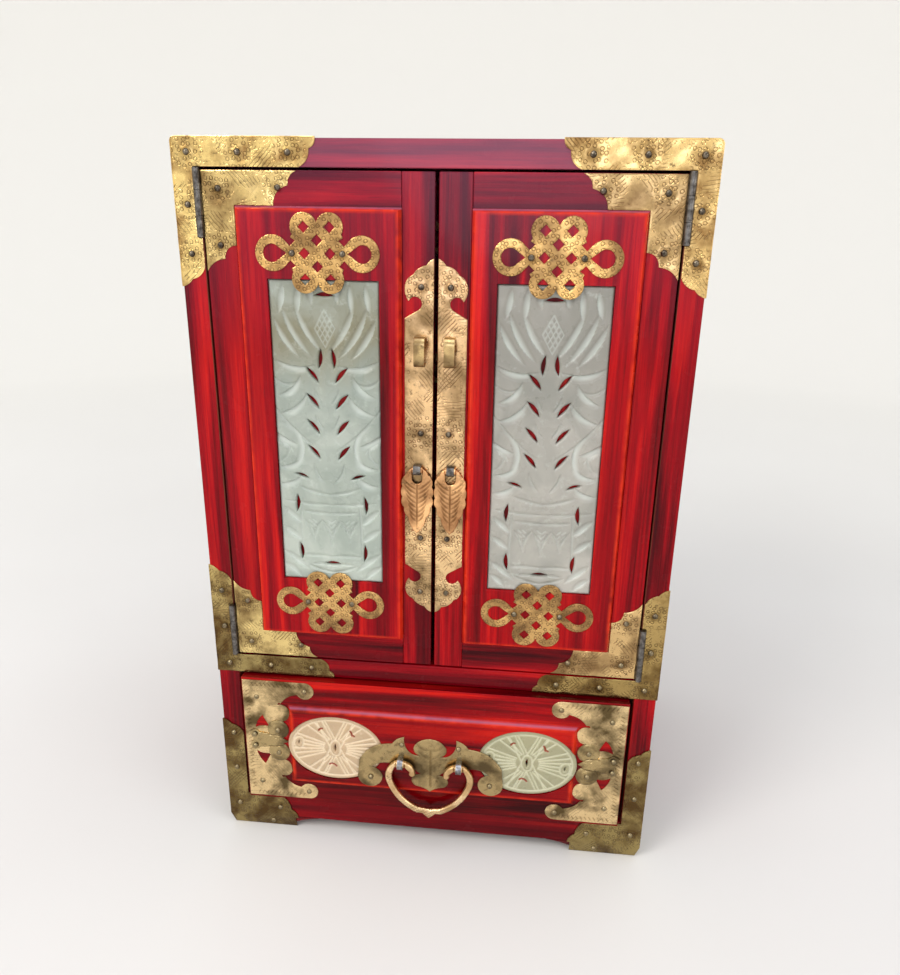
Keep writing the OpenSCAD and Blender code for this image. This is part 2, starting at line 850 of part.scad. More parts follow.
module handle_plate() {
  color(brass) upright(field_y, sheet_t) translate([0, handle_z])
    polygon(mirrored_x(handle_half()));
}

module bail_staples() {
  color(steel) for (s = [-1, 1])
    translate([s * bail_staple_x, bail_axis_y, bail_axis_z])
      staple(bail_staple_r, bail_staple_t, 3, bail_axis_out);
}

// Right half of the bail's ring, outer edge up, round the scrolled end and back down the inner edge
function bail_half() =
  concat(
    [[0, -33.4], [3.6, -30.2], [7, -30]],
    bow([7, -30], [22.4, -13], -2.2),
    bow([22.4, -13], [18.6, 1.5], -3),
    [[12.6, 1.5]],
    bow([12.6, 1.5], [7.6, -4.8], -1.3),
    arc([9.2, -5.4], 1.7, 160, 400, 10),
    [[13.4, -1.5], [18.2, -1.5]],
    bow([18.2, -1.5], [18.8, -13], 1.5),
    bow([18.8, -13], [5.6, -26.8], 1.8),
    [[0, -27.6]]
  );

// The ring, with a round barrel inside each staple
module bail_handle() {
  color(brass) translate([0, bail_axis_y, bail_axis_z]) {
    upright(bail_t / 2, bail_t) polygon(mirrored_x(bail_half()));
    for (s = [-1, 1])
      translate([s * bail_staple_x, 0, 0]) rod(bail_staple_r - strap_play, 4.2);
  }
}

module drawer_nails() {
  color(brass) {
    both() {
      for (s = [-1, 1]) {
        nail(drawer_half - 34.2, drawer_y - sheet_t, drawer_mid_z + s * 32.1);
        nail(drawer_half - 8, drawer_y - sheet_t, drawer_mid_z + s * 27);
        nail(drawer_half - 5.6, drawer_y - 2 * sheet_t, drawer_mid_z + s * 3.6);
        nail(drawer_half - 18.6, drawer_y - 2 * sheet_t, drawer_mid_z + s * 7.1);
      }
      nail(32.2, field_y - sheet_t, handle_z - 10);
      nail(15.2, field_y - sheet_t, handle_z + 12);
    }
  }
}

// ---------- nodes ----------

left() side_board();  // side_board_left
side_board();  // side_board_right
top_board();
back_board();
middle_board();
base_board();
bottom_rail();
feet();
dust_boards();
left() frame_bracket_top();  // frame_bracket_top_left
frame_bracket_top();  // frame_bracket_top_right
left() frame_bracket_middle();  // frame_bracket_middle_left
frame_bracket_middle();  // frame_bracket_middle_right
left() base_bracket();  // base_bracket_left
base_bracket();  // base_bracket_right
frame_nails();
hinge_frame_leaves();
hinge_pins();
left() door_frame();  // door_left_frame
left() door_panel(plaque_shift);  // door_left_panel
left() door_jade(plaque_shift);  // door_left_jade
left() door_knots();  // door_left_knots
left() door_brackets();  // door_left_brackets
left() strike_plate();  // door_left_strike_plate
left() lock_loop();  // door_left_lock_loop
left() pull_staple();  // door_left_pull_staple
left() door_nails();  // door_left_nails
left() door_hinge_leaves();  // door_left_hinge_leaves
door_frame();  // door_right_frame
door_panel(0);  // door_right_panel
door_jade(0);  // door_right_jade
door_knots();  // door_right_knots
door_brackets();  // door_right_brackets
strike_plate();  // door_right_strike_plate
lock_loop();  // door_right_lock_loop
pull_staple();  // door_right_pull_staple
door_nails();  // door_right_nails
door_hinge_leaves();  // door_right_hinge_leaves
left() leaf_pull();  // leaf_pull_left
leaf_pull();  // leaf_pull_right
drawer_front();
drawer_sides();
drawer_back();
drawer_bottom();
drawer_lining();
drawer_jade_ovals();
drawer_corner_plates();
handle_plate();
bail_staples();
drawer_nails();
bail_handle();
inner_drawer(1);  // inner_drawer_1
inner_drawer(2);  // inner_drawer_2
inner_drawer(3);  // inner_drawer_3
inner_drawer(4);  // inner_drawer_4
inner_knob(1);  // inner_knob_1
inner_knob(2);  // inner_knob_2
inner_knob(3);  // inner_knob_3
inner_knob(4);  // inner_knob_4
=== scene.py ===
"""Looks of the table-top jewellery armoire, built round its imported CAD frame."""

import json
import math

import bmesh
import bpy
import numpy as np
from mathutils import Matrix, Vector, geometry


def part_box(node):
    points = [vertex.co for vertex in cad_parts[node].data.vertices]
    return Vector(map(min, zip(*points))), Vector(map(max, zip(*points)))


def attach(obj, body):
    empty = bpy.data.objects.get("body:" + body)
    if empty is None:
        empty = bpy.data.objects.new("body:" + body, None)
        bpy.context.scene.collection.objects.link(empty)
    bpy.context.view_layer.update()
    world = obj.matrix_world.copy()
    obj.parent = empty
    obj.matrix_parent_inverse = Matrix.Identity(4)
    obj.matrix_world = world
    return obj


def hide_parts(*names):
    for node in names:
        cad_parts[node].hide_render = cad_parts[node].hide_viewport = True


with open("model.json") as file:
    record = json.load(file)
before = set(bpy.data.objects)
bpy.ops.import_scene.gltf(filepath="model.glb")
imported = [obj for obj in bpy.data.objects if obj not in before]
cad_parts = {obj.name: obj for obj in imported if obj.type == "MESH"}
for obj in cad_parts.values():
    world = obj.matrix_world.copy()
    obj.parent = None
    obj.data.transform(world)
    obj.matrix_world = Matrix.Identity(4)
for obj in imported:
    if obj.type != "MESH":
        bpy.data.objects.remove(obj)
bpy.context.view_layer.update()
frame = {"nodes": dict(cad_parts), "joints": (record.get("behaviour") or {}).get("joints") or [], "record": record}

MM = 0.001
NODES = frame["nodes"]
BODY_OF = {node: body for body, nodes in frame["record"]["behaviour"]["bodies"].items() for node in nodes}
PIVOT = {joint["child"]: joint["pos_m"] for joint in frame["joints"] if "pos_m" in joint}
SIDES = {"left": -1, "right": 1}


# ------------------------ materials


class Graph:
    """One material: a Principled shader and the nodes that feed it."""

    def __init__(self, name, **constants):
        self.material = bpy.data.materials.new(name)
        self.material.use_nodes = True
        self.tree = self.material.node_tree
        self.shader = self.tree.nodes["Principled BSDF"]
        for socket, value in constants.items():
            self.shader.inputs[socket.replace("_", " ")].default_value = value
        self.place = self.node("TexCoord", output="Object")

    def node(self, kind, inputs=None, output=0, **settings):
        made = self.tree.nodes.new("ShaderNode" + kind)
        for key, value in settings.items():
            setattr(made, key, value)
        for key, value in (inputs or {}).items():
            self.feed(made.inputs[key], value)
        return made.outputs[output]

    def feed(self, socket, value):
        if isinstance(value, bpy.types.NodeSocket):
            self.tree.links.new(value, socket)
        else:
            socket.default_value = value

    def calc(self, operation, *values, clamp=False):
        return self.node("Math", dict(enumerate(values)), operation=operation, use_clamp=clamp)

    def scaled(self, scale=(1, 1, 1), shift=(0, 0, 0), turn=(0, 0, 0), vector=None):
        return self.node("Mapping", {
            "Vector": vector or self.place, "Scale": scale, "Location": shift, "Rotation": turn})

    def noise(self, scale, vector=None, detail=3.0, roughness=0.5, distortion=0.0):
        return self.node("TexNoise", {
            "Vector": vector or self.place, "Scale": scale, "Detail": detail,
            "Roughness": roughness, "Distortion": distortion}, output="Fac")

    def wave(self, scale, vector=None, distortion=0.0, detail=2.0, direction="X"):
        return self.node("TexWave", {
            "Vector": vector or self.place, "Scale": scale, "Distortion": distortion,
            "Detail": detail}, output="Fac", bands_direction=direction)

    def ramp(self, value, *stops):
        """Colours at places from 0 to 1: each stop is (place, (r, g, b))."""
        made = self.tree.nodes.new("ShaderNodeValToRGB")
        band = made.color_ramp.elements
        while len(band) < len(stops):
            band.new(0.5)
        for element, (place, colour) in zip(band, stops):
            element.position = place
            element.color = (*colour, 1)
        self.feed(made.inputs[0], value)
        return made.outputs[0]

    def span(self, value, low, high, to_low=0.0, to_high=1.0):
        return self.node("MapRange", {
            "Value": value, "From Min": low, "From Max": high,
            "To Min": to_low, "To Max": to_high})

    def mix(self, factor, a, b, blend="MIX"):
        made = self.tree.nodes.new("ShaderNodeMix")
        made.data_type = "RGBA"
        made.blend_type = blend
        for index, value in ((0, factor), (6, a), (7, b)):
            if not isinstance(value, (int, float, bpy.types.NodeSocket)):
                value = (*value, 1)
            self.feed(made.inputs[index], value)
        return made.outputs[2]

    def bump(self, height, distance, normal=None):
        inputs = {"Height": height, "Distance": distance, "Strength": 1.0}
        if normal:
            inputs["Normal"] = normal
        return self.node("Bump", inputs)

    def axis(self, letter):
        return self.node("SeparateXYZ", {0: self.place}, output=letter.upper())

    def done(self, colour, roughness=None, normal=None):
        self.feed(self.shader.inputs["Base Color"], colour)
        if roughness is not None:
            self.feed(self.shader.inputs["Roughness"], roughness)
        if normal is not None:
            self.feed(self.shader.inputs["Normal"], normal)
        return self.material


# How far inside a panel's edge the orange line of wear and painted highlight runs, and how far back from its front
# it reaches
RIM_INSET = 0.9 * MM
RIM_DEPTH = 3.5 * MM


def grain_scale(along, across, axis):
    return tuple(along if letter == axis else across for letter in "xyz")


def lacquer(name, axis, shift, edges=None, warmth=0.0, shade=1.0, cloudy=0.42, sky_reflection=0.0):
    """Red lacquer over hardwood, the grain running along axis and moved by shift.

    edges is a box whose front rim turns orange, partly from wear and partly as a painted highlight, with a painted
    lilac highlight along its top. warmth turns the red towards orange, shade darkens it, cloudy is how much dark
    cloud lies over it, and sky_reflection is how much painted lilac reflection of the sky lies over it."""
    g = Graph(name, Specular_IOR_Level=0.06, Coat_Weight=0.17, Coat_Roughness=0.07, Coat_IOR=1.45)
    fine = g.noise(1.0, g.scaled(grain_scale(14, 700, axis), shift), detail=6, roughness=0.7)
    broad = g.noise(1.0, g.scaled(grain_scale(5, 105, axis), shift), detail=4, roughness=0.5, distortion=0.5)
    cloud = g.noise(1.0, g.scaled(grain_scale(12, 38, axis), shift), detail=3)
    tone = g.calc("ADD", g.calc("MULTIPLY", broad, 0.7), g.calc("MULTIPLY", fine, 0.3))
    colour = g.ramp(tone,
                    (0.37, (0.034, 0.0001, 0.0014)),
                    (0.45, (0.125, 0.0003, 0.0030)),
                    (0.53, (0.280, 0.0008, 0.0050)),
                    (0.61, (0.470, 0.0070, 0.0060)))
    colour = g.mix(g.span(cloud, 0.42, 0.60, 0.0, cloudy), colour, (0.130, 0.0003, 0.0040))
    if warmth:
        colour = g.mix(warmth, colour, g.mix(1.0, colour, (1.45, 1.6, 0.5), "MULTIPLY"))
    if shade != 1.0:
        colour = g.mix(1.0, colour, (shade, shade, shade), "MULTIPLY")
    pores = g.span(g.noise(1.0, g.scaled(grain_scale(70, 2600, axis), shift), detail=3), 0.62, 0.70)
    colour = g.mix(g.calc("MULTIPLY", pores, 0.45), colour, (0.035, 0.0005, 0.0015))
    # Painted shade: darker towards the bottom, below about 110 mm.
    in_shade = g.mix(1.0, colour, (0.45, 0.5, 0.6), "MULTIPLY")
    colour = g.mix(g.span(g.axis("z"), 0.035, 0.11, 0.62, 0.0), colour, in_shade)
    # Painted reflection: a lilac tint rises towards the top, above about 270 mm.
    colour = g.mix(g.span(g.axis("z"), 0.27, 0.36, 0.0, 0.30), colour, (0.20, 0.050, 0.095))
    # Painted reflection: lilac from the sky laid evenly over the whole colour.
    if sky_reflection:
        colour = g.mix(sky_reflection, colour, (0.26, 0.17, 0.26))
    if edges:
        low, high = edges
        outward = []
        for letter, a, b in (("x", low.x, high.x), ("z", low.z, high.z)):
            off_middle = g.calc("ABSOLUTE", g.calc("SUBTRACT", g.axis(letter), (a + b) / 2))
            outward.append(g.calc("SUBTRACT", off_middle, (b - a) / 2))
        # The front rim turns orange: partly wear, partly a painted highlight.
        rim = g.calc("ABSOLUTE", g.calc("ADD", g.calc("MAXIMUM", *outward), RIM_INSET))
        rim = g.span(rim, 0.5 * MM, 2.0 * MM, 1.0, 0.0)
        rim = g.calc("MULTIPLY", rim, g.calc("LESS_THAN", g.axis("y"), low.y + RIM_DEPTH))
        wear_and_highlight = g.calc("MULTIPLY", rim, g.span(g.noise(150), 0.32, 0.60, 0.30, 1.0))
        colour = g.mix(g.calc("MULTIPLY", wear_and_highlight, 0.85), colour, (0.62, 0.030, 0.008))
        # Painted highlight: lilac along the top of the rim.
        top_highlight = g.span(g.axis("z"), high.z - 1.2 * MM, high.z - 0.4 * MM, 0.0, 0.65)
        top_highlight = g.calc("MULTIPLY", top_highlight, g.calc("POWER", rim, 3.0))
        colour = g.mix(top_highlight, colour, (0.24, 0.11, 0.20))
    rough = g.span(g.noise(75, detail=4), 0.3, 0.7, 0.14, 0.30)
    ripple = g.bump(g.noise(34, detail=2), 0.3 * MM)
    peel = g.bump(g.noise(420, detail=3, roughness=0.6), 0.07 * MM, ripple)
    return g.done(colour, rough, g.bump(fine, 0.07 * MM, peel))


def inner_wood(name, axis, shift):
    """Bare brown hardwood for what is only seen inside."""
    g = Graph(name, Specular_IOR_Level=0.3)
    fine = g.noise(1.0, g.scaled(grain_scale(16, 1100, axis), shift), detail=5, roughness=0.7)
    broad = g.noise(1.0, g.scaled(grain_scale(5, 90, axis), shift), detail=3, distortion=0.6)
    tone = g.calc("ADD", g.calc("MULTIPLY", broad, 0.6), g.calc("MULTIPLY", fine, 0.4))
    colour = g.ramp(tone,
                    (0.32, (0.060, 0.012, 0.007)),
                    (0.5, (0.150, 0.034, 0.017)),
                    (0.68, (0.270, 0.075, 0.034)))
    return g.done(colour, g.span(fine, 0.3, 0.7, 0.42, 0.62), g.bump(fine, 0.09 * MM))


def brass(name, bright, dull, low=None, engraved=1.0, base_rough=0.22, marked=False, dent=1.6):
    """Old brass, bright and dull in clouds, with punched rings and cut hatching in patches where engraved.

    low multiplies its colour down by the drawer, as painted shade and light low down, and dent is how deep its
    dents look, in mm. On a marked piece the rings and grooves follow the mesh's own tints."""
    g = Graph(name, Metallic=1.0)
    x, y, z = (g.axis(letter) for letter in "xyz")
    flat = g.node("CombineXYZ", {0: g.calc("ADD", x, y), 1: g.calc("MULTIPLY_ADD", y, 0.7, z)})
    patina = g.noise(110, detail=5, roughness=0.62)
    cloud = g.noise(48, detail=2, distortion=0.6)
    tone = g.calc("ADD", g.calc("MULTIPLY", patina, 0.45), g.calc("MULTIPLY", cloud, 0.55))
    between = tuple(0.45 * a + 0.55 * b for a, b in zip(bright, dull))
    colour = g.ramp(tone, (0.40, dull), (0.49, between), (0.56, bright))
    # Painted shade and light: the colour is multiplied by low towards the bottom, below about 315 mm.
    if low:
        colour = g.mix(g.span(z, 0.11, 0.315, 1.0, 0.0), colour, g.mix(1.0, colour, low, "MULTIPLY"))
    stains = g.span(g.noise(300, detail=5, roughness=0.75), 0.57, 0.68)
    colour = g.mix(g.calc("MULTIPLY", stains, 0.7), colour, (0.09, 0.055, 0.028))
    height = g.calc("MULTIPLY", g.noise(900, detail=3), 0.15)
    if engraved:
        cells = g.node("TexVoronoi", {"Vector": flat, "Scale": 380.0, "Randomness": 0.55},
                       output="Distance", voronoi_dimensions="2D")
        ring = g.span(g.calc("ABSOLUTE", g.calc("SUBTRACT", cells, 0.28)), 0.03, 0.11, 1.0, 0.0)
        if marked:
            in_rings = g.node("Attribute", output="Fac", attribute_name="rings")
        else:
            in_rings = g.span(g.noise(62, flat, detail=1), 0.535, 0.555)
        cut = g.calc("MULTIPLY", ring, in_rings)
        for turn, shift, strength in ((0.75, 0.0, 1.0), (-0.7, 0.4, 0.8), (1.45, 0.8, 0.8)):
            lines = g.wave(215, g.scaled(turn=(0, 0, turn), vector=flat), distortion=2.4, detail=1)
            lines = g.span(lines, 0.02, 0.20, 1.0, 0.0)
            patch = g.noise(62, g.scaled(shift=(shift, shift, 0), vector=flat), detail=1)
            patch = g.calc("MULTIPLY", g.span(patch, 0.43, 0.41), g.calc("SUBTRACT", 1.0, in_rings))
            hatching = g.calc("MULTIPLY", g.calc("MULTIPLY", lines, patch), strength)
            cut = g.calc("MAXIMUM", cut, hatching)
        colour = g.mix(g.calc("MULTIPLY", cut, 0.62 * engraved), colour, (0.085, 0.045, 0.018))
        height = g.calc("SUBTRACT", height, g.calc("MULTIPLY", cut, engraved))
    # Darker in the grooves: dirt in the cuts, and painted shade round the nails where the groove tint carries it.
    if marked:
        groove = g.node("Attribute", output="Fac", attribute_name="groove")
        dirt_and_shade = g.mix(1.0, colour, (0.26, 0.20, 0.14), "MULTIPLY")
        colour = g.mix(g.calc("MULTIPLY", groove, 0.75), colour, dirt_and_shade)
    dents = g.bump(g.noise(52, detail=2, roughness=0.4), dent * MM)
    normal = g.bump(height, 0.14 * MM, dents)
    rough = g.calc("ADD", g.span(tone, 0.4, 0.6, 0.16, 0.0), base_rough)
    return g.done(colour, rough, normal)


def dark_metal(name, light, dark, rough, low=None):
    """Tarnished steel or bronze. low is its worn colour down by the drawer, if that differs."""
    g = Graph(name, Metallic=1.0)
    wear = g.noise(420, detail=4, roughness=0.6)
    colour = g.ramp(wear, (0.36, dark), (0.62, light))
    if low:
        colour = g.mix(g.span(g.axis("z"), 0.10, 0.17, 1.0, 0.0), colour, g.mix(wear, dark, low))
    return g.done(colour, g.span(wear, 0.3, 0.7, rough + 0.14, rough), g.bump(wear, 0.05 * MM))


def carved_stone(name, pale, deep, warm, frost, warm_at, warm_reach):
    """Carved translucent stone, darker high up and lighter low down as painted shade. frost lies in its grooves,
    red in its slits, and a warm cloud drifts across at the height warm_at."""
    g = Graph(name, Specular_IOR_Level=0.4, Subsurface_Weight=0.25, Subsurface_Scale=0.0025,
              Coat_Weight=0.12, Coat_Roughness=0.15)
    g.shader.inputs["Subsurface Radius"].default_value = (1.0, 1.15, 0.95)
    cloud = g.noise(30, detail=4, roughness=0.6, distortion=0.8)
    fleck = g.noise(240, detail=4, roughness=0.6)
    colour = g.ramp(cloud, (0.38, deep), (0.60, pale))
    # Painted shade: lighter low down and darker high up.
    colour = g.mix(1.0, colour, g.span(g.axis("z"), 0.17, 0.31, 1.12, 0.80), "MULTIPLY")
    drift = g.calc("ADD", g.axis("z"), g.calc("MULTIPLY", g.calc("SUBTRACT", cloud, 0.5), 0.06))
    off = g.calc("ABSOLUTE", g.calc("SUBTRACT", drift, warm_at))
    colour = g.mix(g.span(off, 0.0, warm_reach, 0.9, 0.0), colour, warm)
    colour = g.mix(g.span(fleck, 0.60, 0.74, 0.0, 0.25), colour, frost)
    groove = g.node("Attribute", output="Fac", attribute_name="groove")
    colour = g.mix(g.calc("MULTIPLY", groove, 0.55), colour, frost)
    slit = g.node("Attribute", output="Fac", attribute_name="rings")
    colour = g.mix(g.span(slit, 0.30, 0.65, 0.0, 0.95), colour, (0.30, 0.048, 0.016))
    rough = g.calc("ADD", g.span(g.noise(130, detail=3), 0.3, 0.7, 0.22, 0.36),
                   g.calc("MULTIPLY", groove, 0.15))
    return g.done(colour, rough, g.bump(g.noise(150, detail=4), 0.14 * MM))


def silk(name):
    """Red silk, finely woven."""
    g = Graph(name, Sheen_Weight=0.15, Sheen_Roughness=0.4, Specular_IOR_Level=0.22)
    warp, weft, rise = (g.wave(1500, direction=letter) for letter in "XYZ")
    weave = g.calc("ADD", g.calc("MULTIPLY", warp, weft), g.calc("MULTIPLY", rise, 0.5))
    slub = g.noise(1.0, g.scaled((60, 900, 900)), detail=3)
    colour = g.ramp(g.calc("ADD", g.calc("MULTIPLY", slub, 0.7), g.calc("MULTIPLY", weave, 0.3)),
                    (0.25, (0.13, 0.004, 0.010)), (0.6, (0.34, 0.012, 0.022)))
    return g.done(colour, g.span(slub, 0.3, 0.7, 0.38, 0.55), g.bump(weave, 0.08 * MM))


def paper(name):
    """The pale studio floor, paler far out as painted light on the far floor and wall."""
    g = Graph(name, Specular_IOR_Level=0.15)
    tone = g.noise(3.0, detail=2)
    colour = g.ramp(tone, (0.3, (0.640, 0.622, 0.600)), (0.7, (0.670, 0.654, 0.634)))
    out = g.node("VectorMath", {0: g.place}, output="Value", operation="LENGTH")
    # Painted light: the floor and its wall grow paler away from the middle.
    colour = g.mix(g.span(out, 0.3, 1.6), colour, (0.885, 0.870, 0.835))
    return g.done(colour, 0.85, g.bump(g.noise(60), 0.02 * MM))


GOLD = (0.98, 0.72, 0.28)
BRONZE = (0.30, 0.165, 0.055)
# How the brass is painted darker down by the drawer, as shade.
LOW_SHADE = (0.37, 0.38, 0.38)
LACQUER = {axis: lacquer(f"lacquer_{axis}", axis, (along, 0.7, 0.2))
           for axis, along in (("x", 0.0), ("z", 0.6))}
INNER = {axis: inner_wood(f"inner_wood_{axis}", axis, (0.1, 0.5 * i, 0.3)) for i, axis in enumerate("xyz")}
BRASS = brass("brass_sheet", GOLD, BRONZE, LOW_SHADE)
BRASS_MOUNT = {
    "left": brass("brass_mount_left", GOLD, BRONZE, LOW_SHADE, marked=True, dent=1.0),
    "right": brass("brass_mount_right", (0.90, 0.62, 0.25), BRONZE, (0.43, 0.43, 0.38),
                   marked=True, dent=1.0)}
BRASS_PLATE = brass("brass_plate", (0.78, 0.50, 0.255), (0.27, 0.165, 0.075), (1.05, 1.14, 1.15),
                    marked=True, dent=1.0)
BRASS_DOOR = {
    "left": brass("brass_door_left", (0.84, 0.61, 0.25), (0.27, 0.17, 0.065), (0.92, 0.95, 0.95),
                  marked=True, dent=1.0),
    "right": brass("brass_door_right", (0.70, 0.47, 0.21), (0.26, 0.155, 0.065), (1.0, 1.0, 1.0),
                   marked=True, dent=1.0)}
BRASS_FRET = brass("brass_fret", (0.84, 0.62, 0.32), (0.13, 0.09, 0.038), engraved=0.6,
                   marked=True, dent=1.3)
BRASS_HANDLE = brass("brass_handle", (0.47, 0.35, 0.165), (0.12, 0.085, 0.04), engraved=0.25,
                     marked=True, dent=0.6)
BRASS_KNOT = brass("brass_knot", (0.82, 0.50, 0.18), (0.30, 0.17, 0.065), (0.80, 0.80, 0.85),
                   marked=True, dent=0.3)
BRASS_CAST = brass("brass_cast", (0.60, 0.42, 0.19), (0.15, 0.09, 0.04), engraved=0.0, dent=0.5)
BRASS_BAIL = brass("brass_bail", (0.95, 0.70, 0.40), (0.58, 0.37, 0.17), engraved=0.0,
                   marked=True, dent=0.25)
BRASS_PULL = brass("brass_pull", (0.98, 0.56, 0.26), (0.36, 0.175, 0.075), engraved=0.0, base_rough=0.26,
                   marked=True, dent=0.4)
NAIL = dark_metal("nail_bronze", (0.20, 0.165, 0.12), (0.045, 0.036, 0.028), 0.26, low=(0.46, 0.36, 0.19))
STEEL = dark_metal("grey_steel", (0.20, 0.185, 0.17), (0.055, 0.048, 0.042), 0.32)
STEEL_BRIGHT = dark_metal("worn_steel", (0.40, 0.39, 0.40), (0.13, 0.125, 0.13), 0.26)
SILK = silk("red_silk")


def paint(node, *materials):
    """Gives a CAD node its materials."""
    obj = NODES[node]
    obj.data.materials.clear()
    for material in materials:
        obj.data.materials.append(material)
    return obj


def soften(obj, width, segments=2):
    """Rounds a CAD node's edges. The import splits its points at sharp edges, so they are welded first."""
    weld = obj.modifiers.new("weld", "WELD")
    weld.merge_threshold = 1e-6
    bevel = obj.modifiers.new("round", "BEVEL")
    bevel.width = width
    bevel.segments = segments
    bevel.limit_method = "ANGLE"
    bevel.angle_limit = math.radians(32)
    bevel.use_clamp_overlap = True
    normals = obj.modifiers.new("normals", "WEIGHTED_NORMAL")
    normals.keep_sharp = True
    for polygon in obj.data.polygons:
        polygon.use_smooth = True


# ------------------------ relief from flat plates


def bow(p, q, s=0.0, n=10):
    """Points from p to q on a curve that bulges s to the left of the way."""
    p, q = np.array(p, float), np.array(q, float)
    d = q - p
    side = np.array([-d[1], d[0]]) / max(np.hypot(*d), 1e-9)
    return [tuple(p + d * t + side * s * 4 * t * (1 - t)) for t in np.linspace(0, 1, n + 1)]


def arc(c, r, a0, a1, n=14):
    """Points on a circle round c, from the angle a0 to a1 in degrees."""
    return [(c[0] + r * math.cos(math.radians(a)), c[1] + r * math.sin(math.radians(a)))
            for a in np.linspace(a0, a1, n + 1)]


def pair(lines):
    """The lines and their mirror images across x = 0, whose soft sides are mirrored too."""
    return lines + [[(-x, z) for x, z in line[::-1]] for line in lines]


FRONT = Matrix.Identity(4)
TURNS = {"top": Matrix.Rotation(math.pi / 2, 4, "X"), "left": Matrix.Rotation(math.pi / 2, 4, "Z"),
         "right": Matrix.Rotation(-math.pi / 2, 4, "Z")}


def outlines(node, face_y, turn=FRONT):
    """The closed outlines, in mm as (x, z), of a node's faces that look forward at face_y once turned."""
    bm = bmesh.new()
    bm.from_mesh(NODES[node].data)
    bm.transform(turn)
    bm.normal_update()
    bmesh.ops.remove_doubles(bm, verts=bm.verts, dist=1e-6)
    front = {f for f in bm.faces
             if f.normal.y < -0.99 and abs(f.calc_center_median().y - face_y) < 0.02 * MM}
    after = {}
    for f in front:
        for loop in f.loops:
            if sum(g in front for g in loop.edge.link_faces) == 1:
                after.setdefault(loop.vert, []).append(loop.link_loop_next.vert)
    rings = []
    while after:
        start = next(iter(after))
        ring, at = [], start
        while at in after:
            ring.append((at.co.x / MM, at.co.z / MM))
            ways = after[at]
            following = ways.pop()
            if not ways:
                del after[at]
            at = following
            if at is start:
                break
        rings.append(ring)
    bm.free()
    return [r for r in rings if len(r) > 2]


def filled_in(ring, step):
    """The ring with no side longer than step."""
    points = []
    for p, q in zip(ring, ring[1:] + ring[:1]):
        n = max(1, math.ceil(math.dist(p, q) / step))
        points += [(p[0] + (q[0] - p[0]) * i / n, p[1] + (q[1] - p[1]) * i / n) for i in range(n)]
    return points


def distance(points, a, b):
    """How far each point is from the nearest of the segments a to b."""
    near = np.full(len(points), 1e9)
    for p, q in zip(a, b):
        d = q - p
        t = np.clip(((points - p) @ d) / max(d @ d, 1e-12), 0, 1)
        near = np.minimum(near, np.hypot(*(points - p - t[:, None] * d).T))
    return near


def inside(points, a, b):
    """Which points lie inside the outlines made by the segments a to b."""
    odd = np.zeros(len(points), bool)
    x, z = points.T
    for (ax, az), (bx, bz) in zip(a, b):
        if az != bz:
            crosses = (az > z) != (bz > z)
            odd ^= crosses & (x < (bx - ax) * (z - az) / (bz - az) + ax)
    return odd


def carved(x, z, lines, half, depth, soft=None, taper=0.0):
    """How deep strokes along the lines cut at each point, in mm. soft is the wider reach of the slope on a
    stroke's left-hand side. taper is how far a stroke thins out towards its ends, from 0 to 1."""
    cut = np.zeros(len(x))
    reach = max(half, soft or 0)
    for line in lines:
        for i, ((ax, az), (bx, bz)) in enumerate(zip(line, line[1:])):
            near = ((x > min(ax, bx) - reach) & (x < max(ax, bx) + reach)
                    & (z > min(az, bz) - reach) & (z < max(az, bz) + reach))
            if not near.any():
                continue
            px, pz, dx, dz = x[near] - ax, z[near] - az, bx - ax, bz - az
            t = np.clip((px * dx + pz * dz) / max(dx * dx + dz * dz, 1e-12), 0, 1)
            full = 1 - taper * (1 - np.sin(np.pi * np.clip((i + t) / (len(line) - 1), 0.02, 0.98)) ** 0.6)
            wide = full * np.where(dx * pz - dz * px > 0, soft or half, half)
            r = np.hypot(px - t * dx, pz - t * dz) / wide
            cut[near] = np.maximum(cut[near], depth * full * np.clip(1 - r * r, 0, 1) ** 1.5)
    return cut


def triangulated(points, edges):
    """The area inside the outline that the edges draw: its points, its triangles, and where each given point
    ended up. Triangles are told apart by how many outline edges lie between them and the outside."""
    found, lines, faces, given, drawn, _ = geometry.delaunay_2d_cdt(
        [Vector(p) for p in points], edges, [], 0, 1e-6)
    fixed = {frozenset(line) for line, origin in zip(lines, drawn) if origin}
    sides = [[frozenset(ends) for ends in zip(face, face[1:] + face[:1])] for face in faces]
    beside = {}
    for i, keys in enumerate(sides):
        for key in keys:
            beside.setdefault(key, []).append(i)
    within = {}
    waiting = [(users[0], key in fixed) for key, users in beside.items() if len(users) == 1]
    while waiting:
        i, is_in = waiting.pop()
        if i not in within:
            within[i] = is_in
            waiting += [(j, is_in != (key in fixed))
                        for key in sides[i] for j in beside[key] if j not in within]
    where = {k: i for i, origins in enumerate(given) for k in origins}
    return np.array([tuple(v) for v in found]), [face for i, face in enumerate(faces) if within[i]], where


